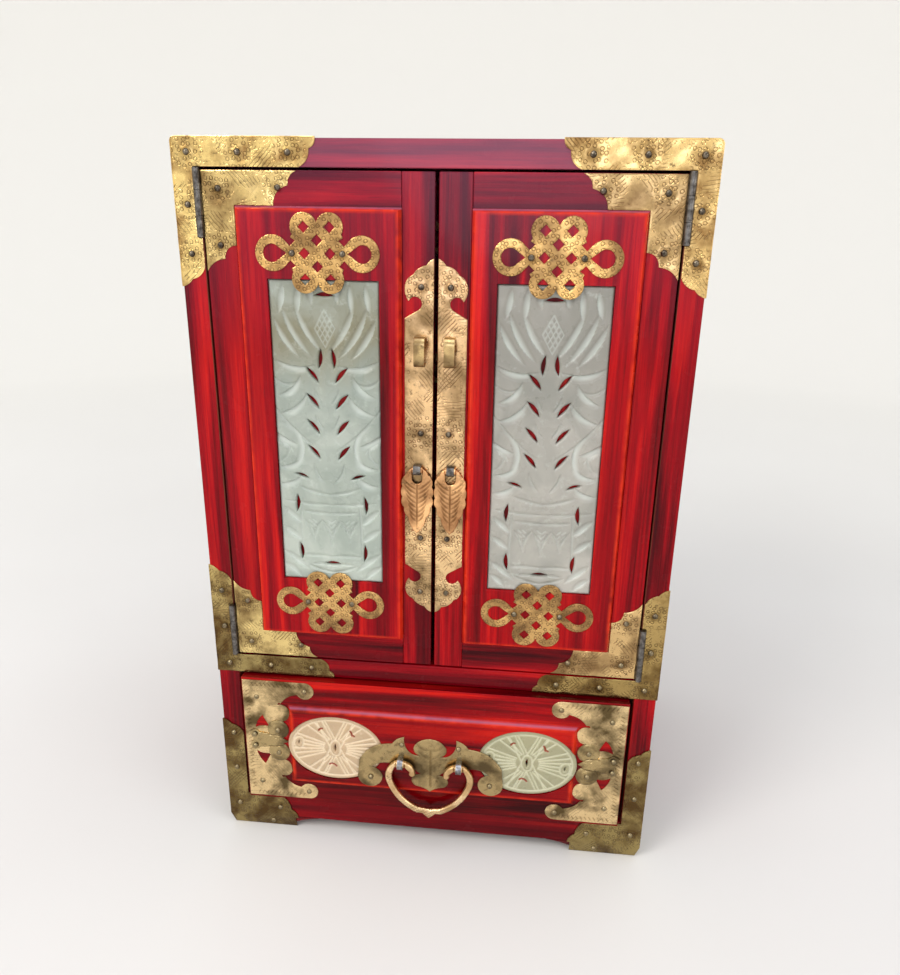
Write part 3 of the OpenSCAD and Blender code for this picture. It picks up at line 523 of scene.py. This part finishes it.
def relief(name, node, face_y, back_y, step, shape, material, slot, pick=None, two_sided=False, turn=FRONT,
           bend=None):
    """A closed piece over a node's flat front, sunk at each point by what shape(x, z, edge) says, in mm.

    shape gets each point's place and its distance from the outline. It returns the depth, and up to two tints
    from 0 to 1 that the materials read: groove and rings. The front is at face_y and the back at back_y, once
    turned, and points lie step apart. pick(x, z) keeps the outlines round such a place, a two_sided piece has
    its front's relief on its back too, and bend moves each point of the finished piece."""
    rings = outlines(node, face_y, turn)
    if pick:
        rings = [r for r in rings if pick(sum(x for x, _ in r) / len(r), sum(z for _, z in r) / len(r))]
    points, edges = [], []
    for ring in rings:
        fine = filled_in(ring, step)
        first, n = len(points), len(fine)
        points += fine
        edges += [(first + i, first + (i + 1) % n) for i in range(n)]
    rim = np.array(points)
    a, b = rim[[e[0] for e in edges]], rim[[e[1] for e in edges]]
    low, high = rim.min(0), rim.max(0)
    rows = np.arange(low[1] + step / 2, high[1], step * 0.866)
    grid = np.array([(x + (i % 2) * step / 2, z)
                     for i, z in enumerate(rows) for x in np.arange(low[0] + step / 4, high[0], step)])
    grid = grid[inside(grid, a, b)]
    grid = grid[distance(grid, a, b) > 0.5 * step]
    flat, triangles, front_of = triangulated(points + [tuple(p) for p in grid], edges)
    edge = distance(flat, a, b)
    depth, *tints = shape(flat[:, 0], flat[:, 1], edge)
    bm = bmesh.new()
    layers = [bm.verts.layers.float.new(label) for label, _ in zip(("groove", "rings"), tints)]
    made = [bm.verts.new((x * MM, face_y + d * MM, z * MM)) for (x, z), d in zip(flat, depth)]
    for layer, tint in zip(layers, tints):
        for v, value in zip(made, tint):
            v[layer] = value
    for face in triangles:
        bm.faces.new([made[i] for i in face])
    open_edges = [e for e in bm.edges if len(e.link_faces) == 1]
    index = {v: i for i, v in enumerate(made)}
    if two_sided:
        back = [bm.verts.new((v.co.x, face_y + back_y - v.co.y, v.co.z)) for v in made]
        back_faces = triangles
    else:
        on_rim = sorted({index[v] for e in open_edges for v in e.verts})
        back = {i: bm.verts.new((made[i].co.x, back_y, made[i].co.z)) for i in on_rim}
        _, found, back_of = triangulated(points, edges)
        matched = {i: front_of[k] for k, i in back_of.items()}
        back_faces = [[matched[i] for i in face] for face in found]
    for i, v in enumerate(made):
        if two_sided or i in back:
            for layer in layers:
                back[i][layer] = v[layer]
    for face in back_faces:
        bm.faces.new([back[i] for i in reversed(face)])
    for e in open_edges:
        i, j = (index[v] for v in e.verts)
        bm.faces.new([made[i], made[j], back[j], back[i]])
    loose = [v for v in bm.verts if not v.link_faces]
    bmesh.ops.delete(bm, geom=loose, context="VERTS")
    bmesh.ops.recalc_face_normals(bm, faces=bm.faces)
    shade_smooth(bm, 50)
    bm.transform(turn.inverted())
    if bend:
        for v in bm.verts:
            v.co = bend(v.co)
    return place(as_object(name, bm, material), BODY_OF[node], slot, node)


def shade_smooth(bm, crease):
    """Shades the faces smooth, apart from edges that turn by more than crease degrees."""
    for f in bm.faces:
        f.smooth = True
    for e in bm.edges:
        e.smooth = len(e.link_faces) == 2 and e.calc_face_angle(0) < math.radians(crease)


def as_object(name, bm, material):
    """An object with the bmesh's shape, which is used up."""
    mesh = bpy.data.meshes.new(name)
    bm.to_mesh(mesh)
    bm.free()
    mesh.materials.append(material)
    return bpy.data.objects.new(name, mesh)


def place(obj, body, slot, *stands_for):
    """Puts a piece in the scene, on its body, in place of the CAD nodes it stands for."""
    bpy.context.scene.collection.objects.link(obj)
    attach(obj, body)
    if stands_for:
        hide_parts(*stands_for)
    return obj


# ------------------------ wood


# An inner drawer's front's thickness and a stile's width, each with a little over
INNER_FRONT = 7.05 * MM
STILE = 14.35 * MM
# The drawer front's raised field: how far it reaches either way, and its bottom and top
FIELD_HALF = 76.2 * MM
FIELD_LOW, FIELD_HIGH = 37 * MM, 84.5 * MM

for name, axis in {"back_board": "z", "middle_board": "x", "bottom_rail": "x", "feet": "x"}.items():
    soften(paint(name, LACQUER[axis]), 0.5 * MM, 3)
# The top board's lacquer has a painted lilac reflection of the sky over it.
soften(paint("top_board", lacquer("lacquer_top", "x", (0.2, 0.6, 0.4), sky_reflection=0.22)), 0.5 * MM, 3)
for name, axis in {"base_board": "x", "dust_boards": "x", "drawer_back": "x", "drawer_bottom": "x",
                   "drawer_sides": "y"}.items():
    soften(paint(name, INNER[axis]), 0.35 * MM)
for i in range(1, 5):
    obj = paint(f"inner_drawer_{i}", LACQUER["x"], INNER["y"])
    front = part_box(obj.name)[0].y + INNER_FRONT
    for polygon in obj.data.polygons:
        polygon.material_index = 0 if polygon.center.y < front else 1
    soften(obj, 0.35 * MM)

for side, s in SIDES.items():
    obj = paint(f"side_board_{side}", LACQUER["z"], INNER["z"])
    inner_x = min(abs(c.x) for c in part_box(obj.name))
    for polygon in obj.data.polygons:
        polygon.material_index = int(abs(polygon.center.x) < inner_x + 0.1 * MM)
    soften(obj, 0.5 * MM, 3)

    stile = lacquer(f"lacquer_stile_{side}", "z", (1.1 + 0.8 * s, 0.7 + s, 0.2), warmth=0.12 + 0.12 * s,
                    cloudy=0.24 - 0.18 * s)
    obj = paint(f"door_{side}_frame", stile, LACQUER["x"])
    low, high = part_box(obj.name)
    for polygon in obj.data.polygons:
        polygon.material_index = int(low.x + STILE < polygon.center.x < high.x - STILE)
    soften(obj, 0.45 * MM, 3)

    node = f"door_{side}_panel"
    wood = lacquer(f"lacquer_panel_{side}", "z", (0.4 * s, 0.1, 0.6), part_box(node), 0.3 + 0.2 * s)
    soften(paint(node, wood), 0.7 * MM, 4)

low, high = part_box("drawer_front")
field = (Vector((-FIELD_HALF, 0, FIELD_LOW)), Vector((FIELD_HALF, 0, FIELD_HIGH)))
# The drawer front's top face gets a darker copy of its lacquer, as painted shade.
obj = paint("drawer_front", lacquer("lacquer_drawer", "x", (0.9, 0.2, 0.5), field, 0.6, 0.92),
            lacquer("lacquer_drawer_top_shaded", "x", (0.9, 0.2, 0.5), shade=0.45))
for polygon in obj.data.polygons:
    polygon.material_index = int(polygon.normal.z > 0.9 and polygon.center.z > high.z - 0.5 * MM)
soften(obj, 0.4 * MM, 3)


# ------------------------ sheet brass and steel


for name in NODES:
    if name.startswith("base_bracket"):
        soften(paint(name, BRASS), 0.16 * MM)
    elif name.endswith("_nails"):
        paint(name, NAIL)
    elif name.endswith("lock_loop"):
        soften(paint(name, BRASS_CAST), 0.15 * MM)
    elif name.startswith("inner_knob"):
        paint(name, BRASS_CAST)
    elif name == "bail_staples":
        soften(paint(name, STEEL_BRIGHT), 0.12 * MM)
    elif name.endswith(("_leaves", "hinge_pins")):
        soften(paint(name, STEEL), 0.08 * MM)
    elif name.endswith("_staple"):
        soften(paint(name, STEEL), 0.12 * MM)


def rounded(edge, radius):
    """How far a half-round edge of that radius falls away, in mm."""
    e = np.clip(radius - edge, 0, radius)
    return radius - np.sqrt(np.maximum(radius * radius - e * e, 0))


def nail_places(node, turn=FRONT, face_y=None):
    """Each nail head's middle in a node, in mm as (x, z), once turned. face_y keeps those on one face."""
    bm = bmesh.new()
    bm.from_mesh(NODES[node].data)
    bm.transform(turn)
    bmesh.ops.remove_doubles(bm, verts=bm.verts, dist=1e-6)
    left, places = set(bm.verts), []
    while left:
        head, edge = set(), {left.pop()}
        while edge:
            head |= edge
            edge = {e.other_vert(v) for v in edge for e in v.link_edges} - head
        left -= head
        if face_y is not None and abs(min(v.co.y for v in head) - face_y) > 2 * MM:
            continue
        places.append(tuple(sum(v.co[k] for v in head) / len(head) / MM for k in (0, 2)))
    bm.free()
    return places


def sheet_shape(nails, swell=0.15, dish=0.2, ring_reach=7.5):
    """Hand-worked sheet brass: it swells and sinks between the nails, which hold it flat in small dishes.
    Rings are punched round the nails and in stretches along the edge, and painted shade lies by the nails."""
    def shape(x, z, edge):
        near = np.min([np.hypot(x - nx, z - nz) for nx, nz in nails] or [np.full(len(x), 99.0)], axis=0)
        along = np.sin(0.5 * x + 1.1 * np.sin(0.29 * z))
        waves = swell * (1 + along * np.cos(0.43 * z + 0.8 * np.sin(0.21 * x)))
        hollow = dish * np.exp(-((near - 3.4) / 1.5) ** 2)
        held = 1 - np.exp(-(near / 1.7) ** 2)
        depth = held * (waves + hollow) + 0.45 * rounded(edge, 0.35)
        rings = np.clip((ring_reach - near) / 1.5, 0, 1) * np.clip((near - 1.6) / 0.6, 0, 1)
        border = np.clip(1 - abs(edge - 1.9) / 0.9, 0, 1) * (np.sin(0.35 * x + 0.5 * z) > 0.2)
        # Painted shade round each nail head, carried by the groove tint.
        nail_shade = 0.75 * np.exp(-((near - 1.6) / 1.3) ** 2)
        return np.minimum(depth, SHEET_DEEPEST), nail_shade, np.maximum(rings, border)
    return shape


def corner_bend(corner_x, corner_z, radius):
    """Moves points near a square top corner onto round layers, so that the corner's edge is rounded."""
    def bend(co):
        a, b = abs(co.x) - (abs(corner_x) - radius), co.z - (corner_z - radius)
        if a <= 0 or b <= 0:
            return co
        shrink = max(a, b) / math.hypot(a, b)
        return Vector((math.copysign(abs(corner_x) - radius + a * shrink, co.x), co.y,
                       corner_z - radius + b * shrink))
    return bend


SHEET = (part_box("handle_plate")[1].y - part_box("handle_plate")[0].y) / MM
SHEET_DEEPEST = 0.46
CORNER_ROUND = 2.4 * MM
for side in SIDES:
    for level in ("top", "middle"):
        node = f"frame_bracket_{level}_{side}"
        low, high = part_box(node)
        faces = {"front": (FRONT, low.y), side: (TURNS[side], -max(abs(low.x), abs(high.x)))}
        if level == "top":
            faces["top"] = (TURNS["top"], -high.z)
        for face, (turn, face_y) in faces.items():
            nails = nail_places("frame_nails", turn, face_y)
            bend = corner_bend(max(low.x, high.x, key=abs), high.z, CORNER_ROUND) if level == "top" else None
            relief(f"mount_{level}_{side}_{face}", node, face_y, face_y + SHEET * MM, 0.5,
                   sheet_shape(nails, swell=0.13, dish=0.22), BRASS_MOUNT[side], "brass",
                   turn=turn, bend=bend)
    for part, material, settings in (
            ("brackets", BRASS_DOOR[side], {}), ("strike_plate", BRASS_PLATE, {"ring_reach": 9.0}),
            ("knots", BRASS_KNOT, {"swell": 0.05, "dish": 0.1, "ring_reach": 20.0})):
        node = f"door_{side}_{part}"
        low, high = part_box(node)
        relief(f"{part}_{side}", node, low.y, high.y, 0.42,
               sheet_shape(nail_places(f"door_{side}_nails"), **settings), material, "brass")


# ------------------------ carved stone


def plaque_lines():
    """The carving of a door plaque, from its centre: a big blossom over a leafy stem in a vase. The broad
    strokes slope on their left-hand side, the bands are narrow, and the fine lines are hatching."""
    broad = [
        bow((1.6, 40.6), (13.6, 62), -2.6, 16), bow((6.6, 38.6), (19.6, 61), -2.8, 16),
        bow((12, 38), (23.6, 56), -2.4, 14), bow((24, 37.2), (5.2, 35), 2.2, 14),
        bow((22.6, 20.7), (12.4, 30), 1.6), bow((23, 12), (9.8, 21.4), 2.0), bow((26, 3.4), (14.6, -3), 0.9),
        arc((24.5, -4.5), 12.4, 105, 246, 20), bow((23.5, -13.8), (12.2, -8), 1.8),
        bow((24, -22.5), (13.8, -18.4), 1.2), bow((14.6, -43), (23.6, -35), -1.0),
        bow((15.2, -51.5), (23.8, -45), -1.0), bow((12.6, -67), (23.8, -58), -1.0),
        bow((17, -71), (24, -65), -0.6),
        bow((18.5, 70.5), (20.8, 58), -1.2), bow((11.5, 70.5), (12.6, 57), -1.0),
        bow((5.5, 70.5), (5.6, 63), -0.6),
    ]
    bands = [
        bow((25, 15.4), (4.4, -5), 1.5, 18), bow((24, 28.6), (12.2, 28.2), 2.6),
        arc((25.5, -5), 6.6, 110, 250, 12), bow((0, -27.6), (14.6, -24), -1.0),
        bow((0, -32.8), (22, -31.2), -0.9), bow((0, -37.4), (12.8, -36.4), -0.5),
        bow((0, -60), (15.6, -60), 0), bow((0, -64.4), (10, -64.4), 0), bow((0, -68.4), (12.4, -65), -0.9),
        bow((13.6, -30), (14.6, -62), 0.5), bow((5.4, 23.4), (2.4, 17.6), 0.5),
        bow((5.4, 11.4), (2.4, 5.6), 0.5), bow((7, -12.5), (2.6, -21), 0.9),
    ]
    vees = [bow((0, -53.4), (4.4, -41.4), 0.7), bow((4.8, -41.4), (8.8, -51.4), 0.6),
            bow((8.8, -51.4), (13.2, -41.4), 0.6)]
    fine = [bow((17.6 + 1.3 * i, -6.6 + 0.9 * i), (20.6 + 0.9 * i, -3.0 + 0.5 * i), 0.4) for i in range(4)]
    fine += [[(x, -42.0 - 2.4 * i), (x + 1.6 - 0.3 * i, -40.6 - 2.4 * i)]
             for x in (0.3, 7.4, 9.6) for i in range(3)]
    lattice = [[(-4.6 + 1.15 * i, 51.5 - 2.1 * i), (1.15 * i, 59.9 - 2.1 * i)] for i in range(5)]
    return pair(broad), pair(bands + vees), pair(fine + lattice)


BROAD, BANDS, FINE = plaque_lines()
# Each stone's pale, deep and warm colour
PLAQUE_TINTS = {
    "left": ((0.375, 0.410, 0.358), (0.275, 0.312, 0.270), (0.190, 0.172, 0.104)),
    "right": ((0.362, 0.345, 0.305), (0.265, 0.260, 0.228), (0.235, 0.225, 0.195))}
for side in SIDES:
    node = f"door_{side}_jade"
    low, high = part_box(node)

    def plaque_shape(x, z, edge, centre=(low + high) / 2 / MM):
        x, z = x - centre.x, z - centre.z
        broad = carved(x, z, BROAD, 0.5, 1.05, 3.6, 0.9)
        bands = carved(x, z, BANDS, 0.45, 0.6, 1.7, 0.6)
        fine = carved(x, z, FINE, 0.42, 0.26)
        rim = 0.6 * np.clip(1 - edge / 0.9, 0, 1) ** 2
        waves = 0.10 * (1 + np.sin(x * 0.31 + 1.3) * np.cos(z * 0.17))
        cut = np.maximum(broad, bands)
        groove = np.maximum(np.clip(cut - 0.3, 0, 1) / 0.75, fine / 0.45)
        return np.minimum(cut + fine + waves + rim, 1.55), np.clip(groove, 0, 1)

    stone = carved_stone(f"jade_{side}", *PLAQUE_TINTS[side], (0.62, 0.67, 0.62), 0.281, 0.030)
    relief(f"plaque_{side}", node, low.y, high.y, 0.5, plaque_shape, stone, "jade")


def oval_lines():
    """An oval's carving, from its centre: fans of rays and two crossed pairs of long strokes round a lens."""
    rays = []
    for middle_angle, count in ((0, 6), (62, 3), (118, 3), (180, 6), (242, 3), (298, 3)):
        for i in range(count):
            a = math.radians(middle_angle + 11 * (i - (count - 1) / 2))
            rays.append([(6.4 * math.cos(a), 6.0 * math.sin(a)), (23 * math.cos(a), 17 * math.sin(a))])
    crossed = [[(x - 8 * s, -17), (x + 8 * s, 17)] for x in (-2.6, 2.6) for s in (-1, 1)]
    inner = [bow((0, 4.4), (0, -4.4), 1.4, 12), bow((0, -4.4), (0, 4.4), 1.4, 12)]
    return rays + crossed + inner


OVAL = oval_lines()
OVAL_X = 51.5
# Each stone's pale, deep and warm colour, and the frost in its grooves
OVAL_TINTS = {
    "left": ((0.470, 0.320, 0.185), (0.380, 0.260, 0.150), (0.500, 0.375, 0.240), (0.95, 0.82, 0.60)),
    "right": ((0.320, 0.295, 0.162), (0.245, 0.240, 0.125), (0.325, 0.305, 0.200), (0.76, 0.75, 0.55))}
# Short red pits among the rays
SLITS = [bow((-8.8, 10.4), (-7.0, 11.6), 0.3, 4), bow((8.2, 11.0), (9.0, 8.4), 0.4, 4),
         bow((9.0, 8.4), (10.4, 8.0), 0.2, 4), bow((-3.6, -11.0), (-1.6, -10.4), 0.3, 4),
         bow((-1.6, -10.4), (0.2, -11.8), 0.2, 4)]
low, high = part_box("drawer_jade_ovals")
for side, s in SIDES.items():
    def oval_shape(x, z, edge, cx=s * OVAL_X, cz=(low.z + high.z) / 2 / MM):
        x, z = x - cx, z - cz
        cut = carved(x, z, OVAL, 0.55, 0.55, 0.85)
        border = 0.45 * np.clip(1 - ((edge - 2.3) / 0.7) ** 2, 0, 1)
        raised = np.clip((2.3 - edge) / 0.6, 0, 1)
        cut = np.maximum(cut * (1 - raised), border)
        rim = 0.5 * np.clip(1 - edge / 0.9, 0, 1) ** 2
        slit = carved(x, z, SLITS, 0.85, 1.0)
        depth = np.minimum(np.maximum(cut, slit) + rim + 0.12 * (1 - raised), 1.2)
        return depth, np.clip(cut / 0.5, 0, 1), slit

    stone = carved_stone(f"jade_oval_{side}", *OVAL_TINTS[side], 0.02, 0.12)
    relief(f"oval_{side}", "drawer_jade_ovals", low.y, high.y, 0.42, oval_shape, stone, "jade",
           pick=lambda x, z, s=s: x * s > 0)


# ------------------------ cast brass


def barrel(name, centre, radius, length, body, slot, material):
    """A turned barrel along x, with rounded ends."""
    bm = bmesh.new()
    bmesh.ops.create_cone(bm, cap_ends=True, segments=32, radius1=radius, radius2=radius, depth=length,
                          matrix=Matrix.Translation(centre) @ Matrix.Rotation(math.pi / 2, 4, "Y"))
    ends = [e for e in bm.edges if e.calc_face_angle(0) > 1.2]
    bmesh.ops.bevel(bm, geom=ends, offset=radius * 0.12, segments=3, affect="EDGES", profile=0.5)
    for f in bm.faces:
        f.smooth = len(f.verts) == 4
    return place(as_object(name, bm, material), body, slot)


LEAF_HALF = 0.5 * MM
BAIL_HALF = 1.5 * MM
BAIL_LUG_X = 15.6 * MM
for side in SIDES:
    node = f"leaf_pull_{side}"
    low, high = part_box(node)
    axis_y, top_z, cx = (low.y + high.y) / 2, high.z / MM, (low.x + high.x) / 2 / MM

    def leaf_shape(x, z, edge, cx=cx, top=top_z):
        x, z = x - cx, z - top
        veins = pair([bow((0, -11.5 - 2.3 * i), (6.9 - 0.5 * i, -5.6 - 2.5 * i), -0.8, 6) for i in range(8)])
        rib = [bow((0, -7), (0, -31.5), 0)]
        cut = np.maximum(carved(x, z, veins, 0.40, 0.26, 1.1, 0.7), carved(x, z, rib, 0.6, 0.34, 0.6, 0.5))
        fold = 0.14 * np.clip(1 - abs(x) / 5.0, 0, 1)
        depth = np.minimum(cut + fold + 0.7 * rounded(edge, 0.45), 0.46)
        return depth, np.clip(cut / 0.26, 0, 1), np.zeros(len(x))

    relief(f"pull_leaf_{side}", node, axis_y - LEAF_HALF, axis_y + LEAF_HALF, 0.36, leaf_shape,
           BRASS_PULL, "brass", two_sided=True)
    barrel(f"pull_barrel_{side}", (cx * MM, axis_y, PIVOT[f"pull_{side}"][2]), 1.53 * MM, 4.8 * MM,
           f"pull_{side}", "brass", BRASS_PULL)

low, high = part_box("bail_handle")
bail_y = (low.y + high.y) / 2


def bail_shape(x, z, edge):
    """A round rod, hammered towards its bottom."""
    worked = np.clip((40 - z) / 10, 0, 1)
    hammer = worked * np.abs(np.sin(2.6 * x + 1.4 * z) * np.sin(1.9 * z - 1.1 * x))
    return 0.9 * rounded(edge, 1.0) + 0.14 * hammer, hammer


relief("bail_ring", "bail_handle", bail_y - BAIL_HALF, bail_y + BAIL_HALF, 0.45, bail_shape, BRASS_BAIL,
       "brass", two_sided=True)
for side, s in SIDES.items():
    barrel(f"bail_barrel_{side}", (s * BAIL_LUG_X, bail_y, PIVOT["bail"][2]), 2.03 * MM, 4.2 * MM,
           "bail", "brass", BRASS_BAIL)

low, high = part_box("handle_plate")
plate_z = (low.z + high.z) / 2 / MM


def plate_shape(x, z, edge):
    """Two wings and a budding middle, creased down from the bud, with a hollow in each wing's curl."""
    z = z - plate_z
    bud = pair([bow((0, 9.6), (6.2, 11.6), -1.0), bow((0, 4.0), (5.4, 7.4), -0.6)])
    crease = [[(0, 9.2), (0, -13.0)]]
    cut = np.maximum(carved(x, z, bud, 0.5, 0.18, 1.8), carved(x, z, crease, 0.5, 0.3, 1.6))
    curls = 0.16 * np.exp(-(np.hypot(abs(x) - 32, z + 9) / 3.6) ** 2)
    swell = 0.07 * (1 + np.sin(0.42 * x + 0.5) * np.cos(0.5 * z))
    depth = np.minimum(cut + curls + swell + 0.5 * rounded(edge, 0.4), 0.5)
    return depth, 0.8 * np.clip(cut / 0.3, 0, 1), np.zeros(len(x))


relief("handle_backplate", "handle_plate", low.y, high.y, 0.42, plate_shape, BRASS_HANDLE, "brass")

PLATE_NAILS = nail_places("drawer_nails")
low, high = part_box("drawer_corner_plates")
CORNER_OUT, CORNER_Z = high.x / MM, (low.z + high.z) / 2 / MM


def corner_shape(x, z, edge):
    """The fretted drawer plates, with rows of short cuts along their straight edges."""
    depth, _, rings = sheet_shape(PLATE_NAILS, swell=0.10, dish=0.14)(x, z, edge)
    u, v = CORNER_OUT - abs(x), z - CORNER_Z
    ticks = [[(1.6, 2.3 * i), (3.4, 2.3 * i + 1.0)] for i in range(-14, 14)]
    ticks += [[(5 + 2.3 * i, s * 35.4), (6 + 2.3 * i, s * 33.7)] for i in range(12) for s in (-1, 1)]
    cuts = carved(u, v, ticks, 0.4, 0.2)
    return np.minimum(depth + cuts, 0.5), np.clip(cuts / 0.2, 0, 1), 0.4 * rings


def moth_shape(x, z, edge):
    """The moths over the plates' middles: two domed wings on a ridged body."""
    u, v = CORNER_OUT - abs(x), abs(z - CORNER_Z)
    wing = np.hypot(u - 18.2, v - 7.1) / 5.8
    dome = np.where(wing < 1, 0.55 * wing ** 2, 0.30 + 0.12 * np.cos(2.1 * u))
    dimple = 0.25 * np.exp(-((wing - 0.62) / 0.10) ** 2) * (wing < 1)
    seam = carved(u, v, [bow((12.6, 3.6), (21.5, 2.4), 0.5)], 0.5, 0.3)
    rim = 0.25 * np.clip(1 - edge / 0.8, 0, 1) ** 2
    return np.minimum(dome + dimple + seam + rim, 0.95), np.clip(seam / 0.4, 0, 1), np.zeros(len(x))


relief("drawer_frets", "drawer_corner_plates", low.y + SHEET * MM, high.y, 0.42, corner_shape, BRASS_FRET,
       "brass")
relief("drawer_moths", "drawer_corner_plates", low.y, high.y, 0.36, moth_shape, BRASS_HANDLE, "brass")


# ------------------------ lining


def lining():
    """The drawer's silk lining: a padded floor and four padded walls in one closed piece, a little uneven."""
    low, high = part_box("drawer_lining")
    bm = bmesh.new()
    nx, ny, nz = 84, 60, 14
    size = high - low
    thick, floor = 0.95 * MM, 0.35 * MM

    def panel(origin, u, v, nu, nv, inward, crown):
        rows = []
        for j in range(nv + 1):
            row = []
            for i in range(nu + 1):
                a, b = i / nu, j / nv
                dome = 16 * a * (1 - a) * b * (1 - b)
                ripple = 0.12 * MM * math.sin(a * 37 + b * 11) * math.sin(b * 29 - a * 7)
                rise = crown * dome ** 0.35 + ripple * dome ** 0.5
                row.append(bm.verts.new(origin + u * a + v * b + inward * rise))
            rows.append(row)
        for j in range(nv):
            for i in range(nu):
                bm.faces.new([rows[j][i], rows[j][i + 1], rows[j + 1][i + 1], rows[j + 1][i]])

    inner_low = low + Vector((thick, thick, floor))
    width = Vector((size.x - 2 * thick, 0, 0))
    length = Vector((0, size.y - 2 * thick, 0))
    height = Vector((0, 0, size.z - floor))
    up, right, back = Vector((0, 0, 1)), Vector((1, 0, 0)), Vector((0, 1, 0))
    panel(inner_low, width, length, nx, ny, up, 0.6 * MM)
    panel(inner_low, width, height, nx, nz, back, 0.5 * MM)
    panel(inner_low + length, width, height, nx, nz, -back, 0.5 * MM)
    panel(inner_low, length, height, ny, nz, right, 0.5 * MM)
    panel(inner_low + width, length, height, ny, nz, -right, 0.5 * MM)
    bmesh.ops.remove_doubles(bm, verts=bm.verts, dist=0.02 * MM)
    rim = [e for e in bm.edges if len(e.link_faces) == 1]
    grown = bmesh.ops.extrude_edge_only(bm, edges=rim)["geom"]
    outer = [v for v in grown if isinstance(v, bmesh.types.BMVert)]
    middle = (low + high) / 2
    for v in outer:
        for k in range(2):
            edge = (low, high)[v.co[k] > middle[k]][k]
            if abs(v.co[k] - edge) < thick * 1.5:
                v.co[k] = edge
    rest = [e for e in grown if isinstance(e, bmesh.types.BMEdge) and len(e.link_faces) == 1]
    down = bmesh.ops.extrude_edge_only(bm, edges=rest)["geom"]
    for v in down:
        if isinstance(v, bmesh.types.BMVert):
            v.co.z = low.z
    rest = [e for e in down if isinstance(e, bmesh.types.BMEdge) and len(e.link_faces) == 1]
    bmesh.ops.triangle_fill(bm, edges=rest, use_beauty=True, normal=(0, 0, -1))
    bmesh.ops.recalc_face_normals(bm, faces=bm.faces)
    shade_smooth(bm, 55)
    obj = place(as_object("drawer_silk", bm, SILK), "drawer", "lining", "drawer_lining")


lining()


# ------------------------ stage, light and camera


def bowl():
    """A pale round floor that curves up into a wall on every side."""
    flat, bend, top, turns = 1.5, 1.0, 1.6, 96
    profile = [(flat * i / 6, 0.0) for i in range(7)]
    profile += [(flat + bend * math.sin(a), bend * (1 - math.cos(a)))
                for a in np.linspace(0, math.pi / 2, 17)[1:]]
    profile.append((flat + bend, top))
    bm = bmesh.new()
    centre = bm.verts.new((0, 0, 0))
    rings = [[bm.verts.new((r * math.cos(2 * math.pi * k / turns), r * math.sin(2 * math.pi * k / turns), z))
              for k in range(turns)] for r, z in profile[1:]]
    for k in range(turns):
        bm.faces.new([centre, rings[0][k], rings[0][(k + 1) % turns]])
        for a, b in zip(rings, rings[1:]):
            bm.faces.new([a[k], b[k], b[(k + 1) % turns], a[(k + 1) % turns]])
    for f in bm.faces:
        f.smooth = True
    obj = as_object("studio_floor", bm, paper("studio_paper"))
    bpy.context.scene.collection.objects.link(obj)


def lamp(name, spot, target, size, power, colour):
    """A round soft lamp at spot that points at target. size is in metres and power in watts."""
    data = bpy.data.lights.new(name, "AREA")
    data.shape = "DISK"
    data.size = size
    data.energy = power
    data.color = colour
    obj = bpy.data.objects.new(name, data)
    obj.location = spot
    obj.rotation_mode = "QUATERNION"
    obj.rotation_quaternion = (Vector(target) - Vector(spot)).to_track_quat("-Z", "Y")
    bpy.context.scene.collection.objects.link(obj)


bowl()
lamp("key", (-1.0, -1.1, 1.35), (0, 0, 0.18), 0.9, 18, (1.0, 0.97, 0.93))
lamp("sky", (0.1, -0.3, 1.7), (0, 0, 0.2), 1.3, 10, (0.80, 0.88, 1.0))
lamp("window", (0.0, -1.7, 0.63), (0, 0, 0.3), 0.7, 3, (0.70, 0.78, 1.0))
lamp("fill", (1.3, -0.9, 0.8), (0, 0, 0.2), 1.0, 5, (1.0, 0.98, 0.96))

world = bpy.data.worlds.new("studio")
world.use_nodes = True
world.node_tree.nodes["Background"].inputs["Color"].default_value = (0.96, 0.96, 0.96, 1)
world.node_tree.nodes["Background"].inputs["Strength"].default_value = 0.82
bpy.context.scene.world = world
bpy.context.scene.view_settings.view_transform = "Standard"

# The photograph's viewpoint: its pitch, yaw and roll in degrees, and its place in mm: to the right of the
# object's middle, in front of the case and above the floor
PITCH, YAW, ROLL = (math.radians(a) for a in (18.25, -5.34, 1.01))
EYE_RIGHT, EYE_AHEAD, EYE_HEIGHT = 38.77, 333.4, 320.76
FOCAL_LENGTH = 27.32
forward = Vector((math.sin(YAW) * math.cos(PITCH), math.cos(YAW) * math.cos(PITCH), -math.sin(PITCH)))
level = Vector((math.cos(YAW), -math.sin(YAW), 0))
upright = level.cross(forward)
across = level * math.cos(ROLL) + upright * math.sin(ROLL)
upwards = upright * math.cos(ROLL) - level * math.sin(ROLL)
eye = Vector((EYE_RIGHT * MM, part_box("side_board_left")[0].y - EYE_AHEAD * MM, EYE_HEIGHT * MM))
camera = bpy.data.objects.new("camera", bpy.data.cameras.new("camera"))
camera.data.lens = FOCAL_LENGTH
camera.data.sensor_width = 36
camera.data.clip_start = 0.01
camera.matrix_world = Matrix((
    (across.x, upwards.x, -forward.x, eye.x),
    (across.y, upwards.y, -forward.y, eye.y),
    (across.z, upwards.z, -forward.z, eye.z),
    (0, 0, 0, 1)))
bpy.context.scene.collection.objects.link(camera)
bpy.context.scene.camera = camera
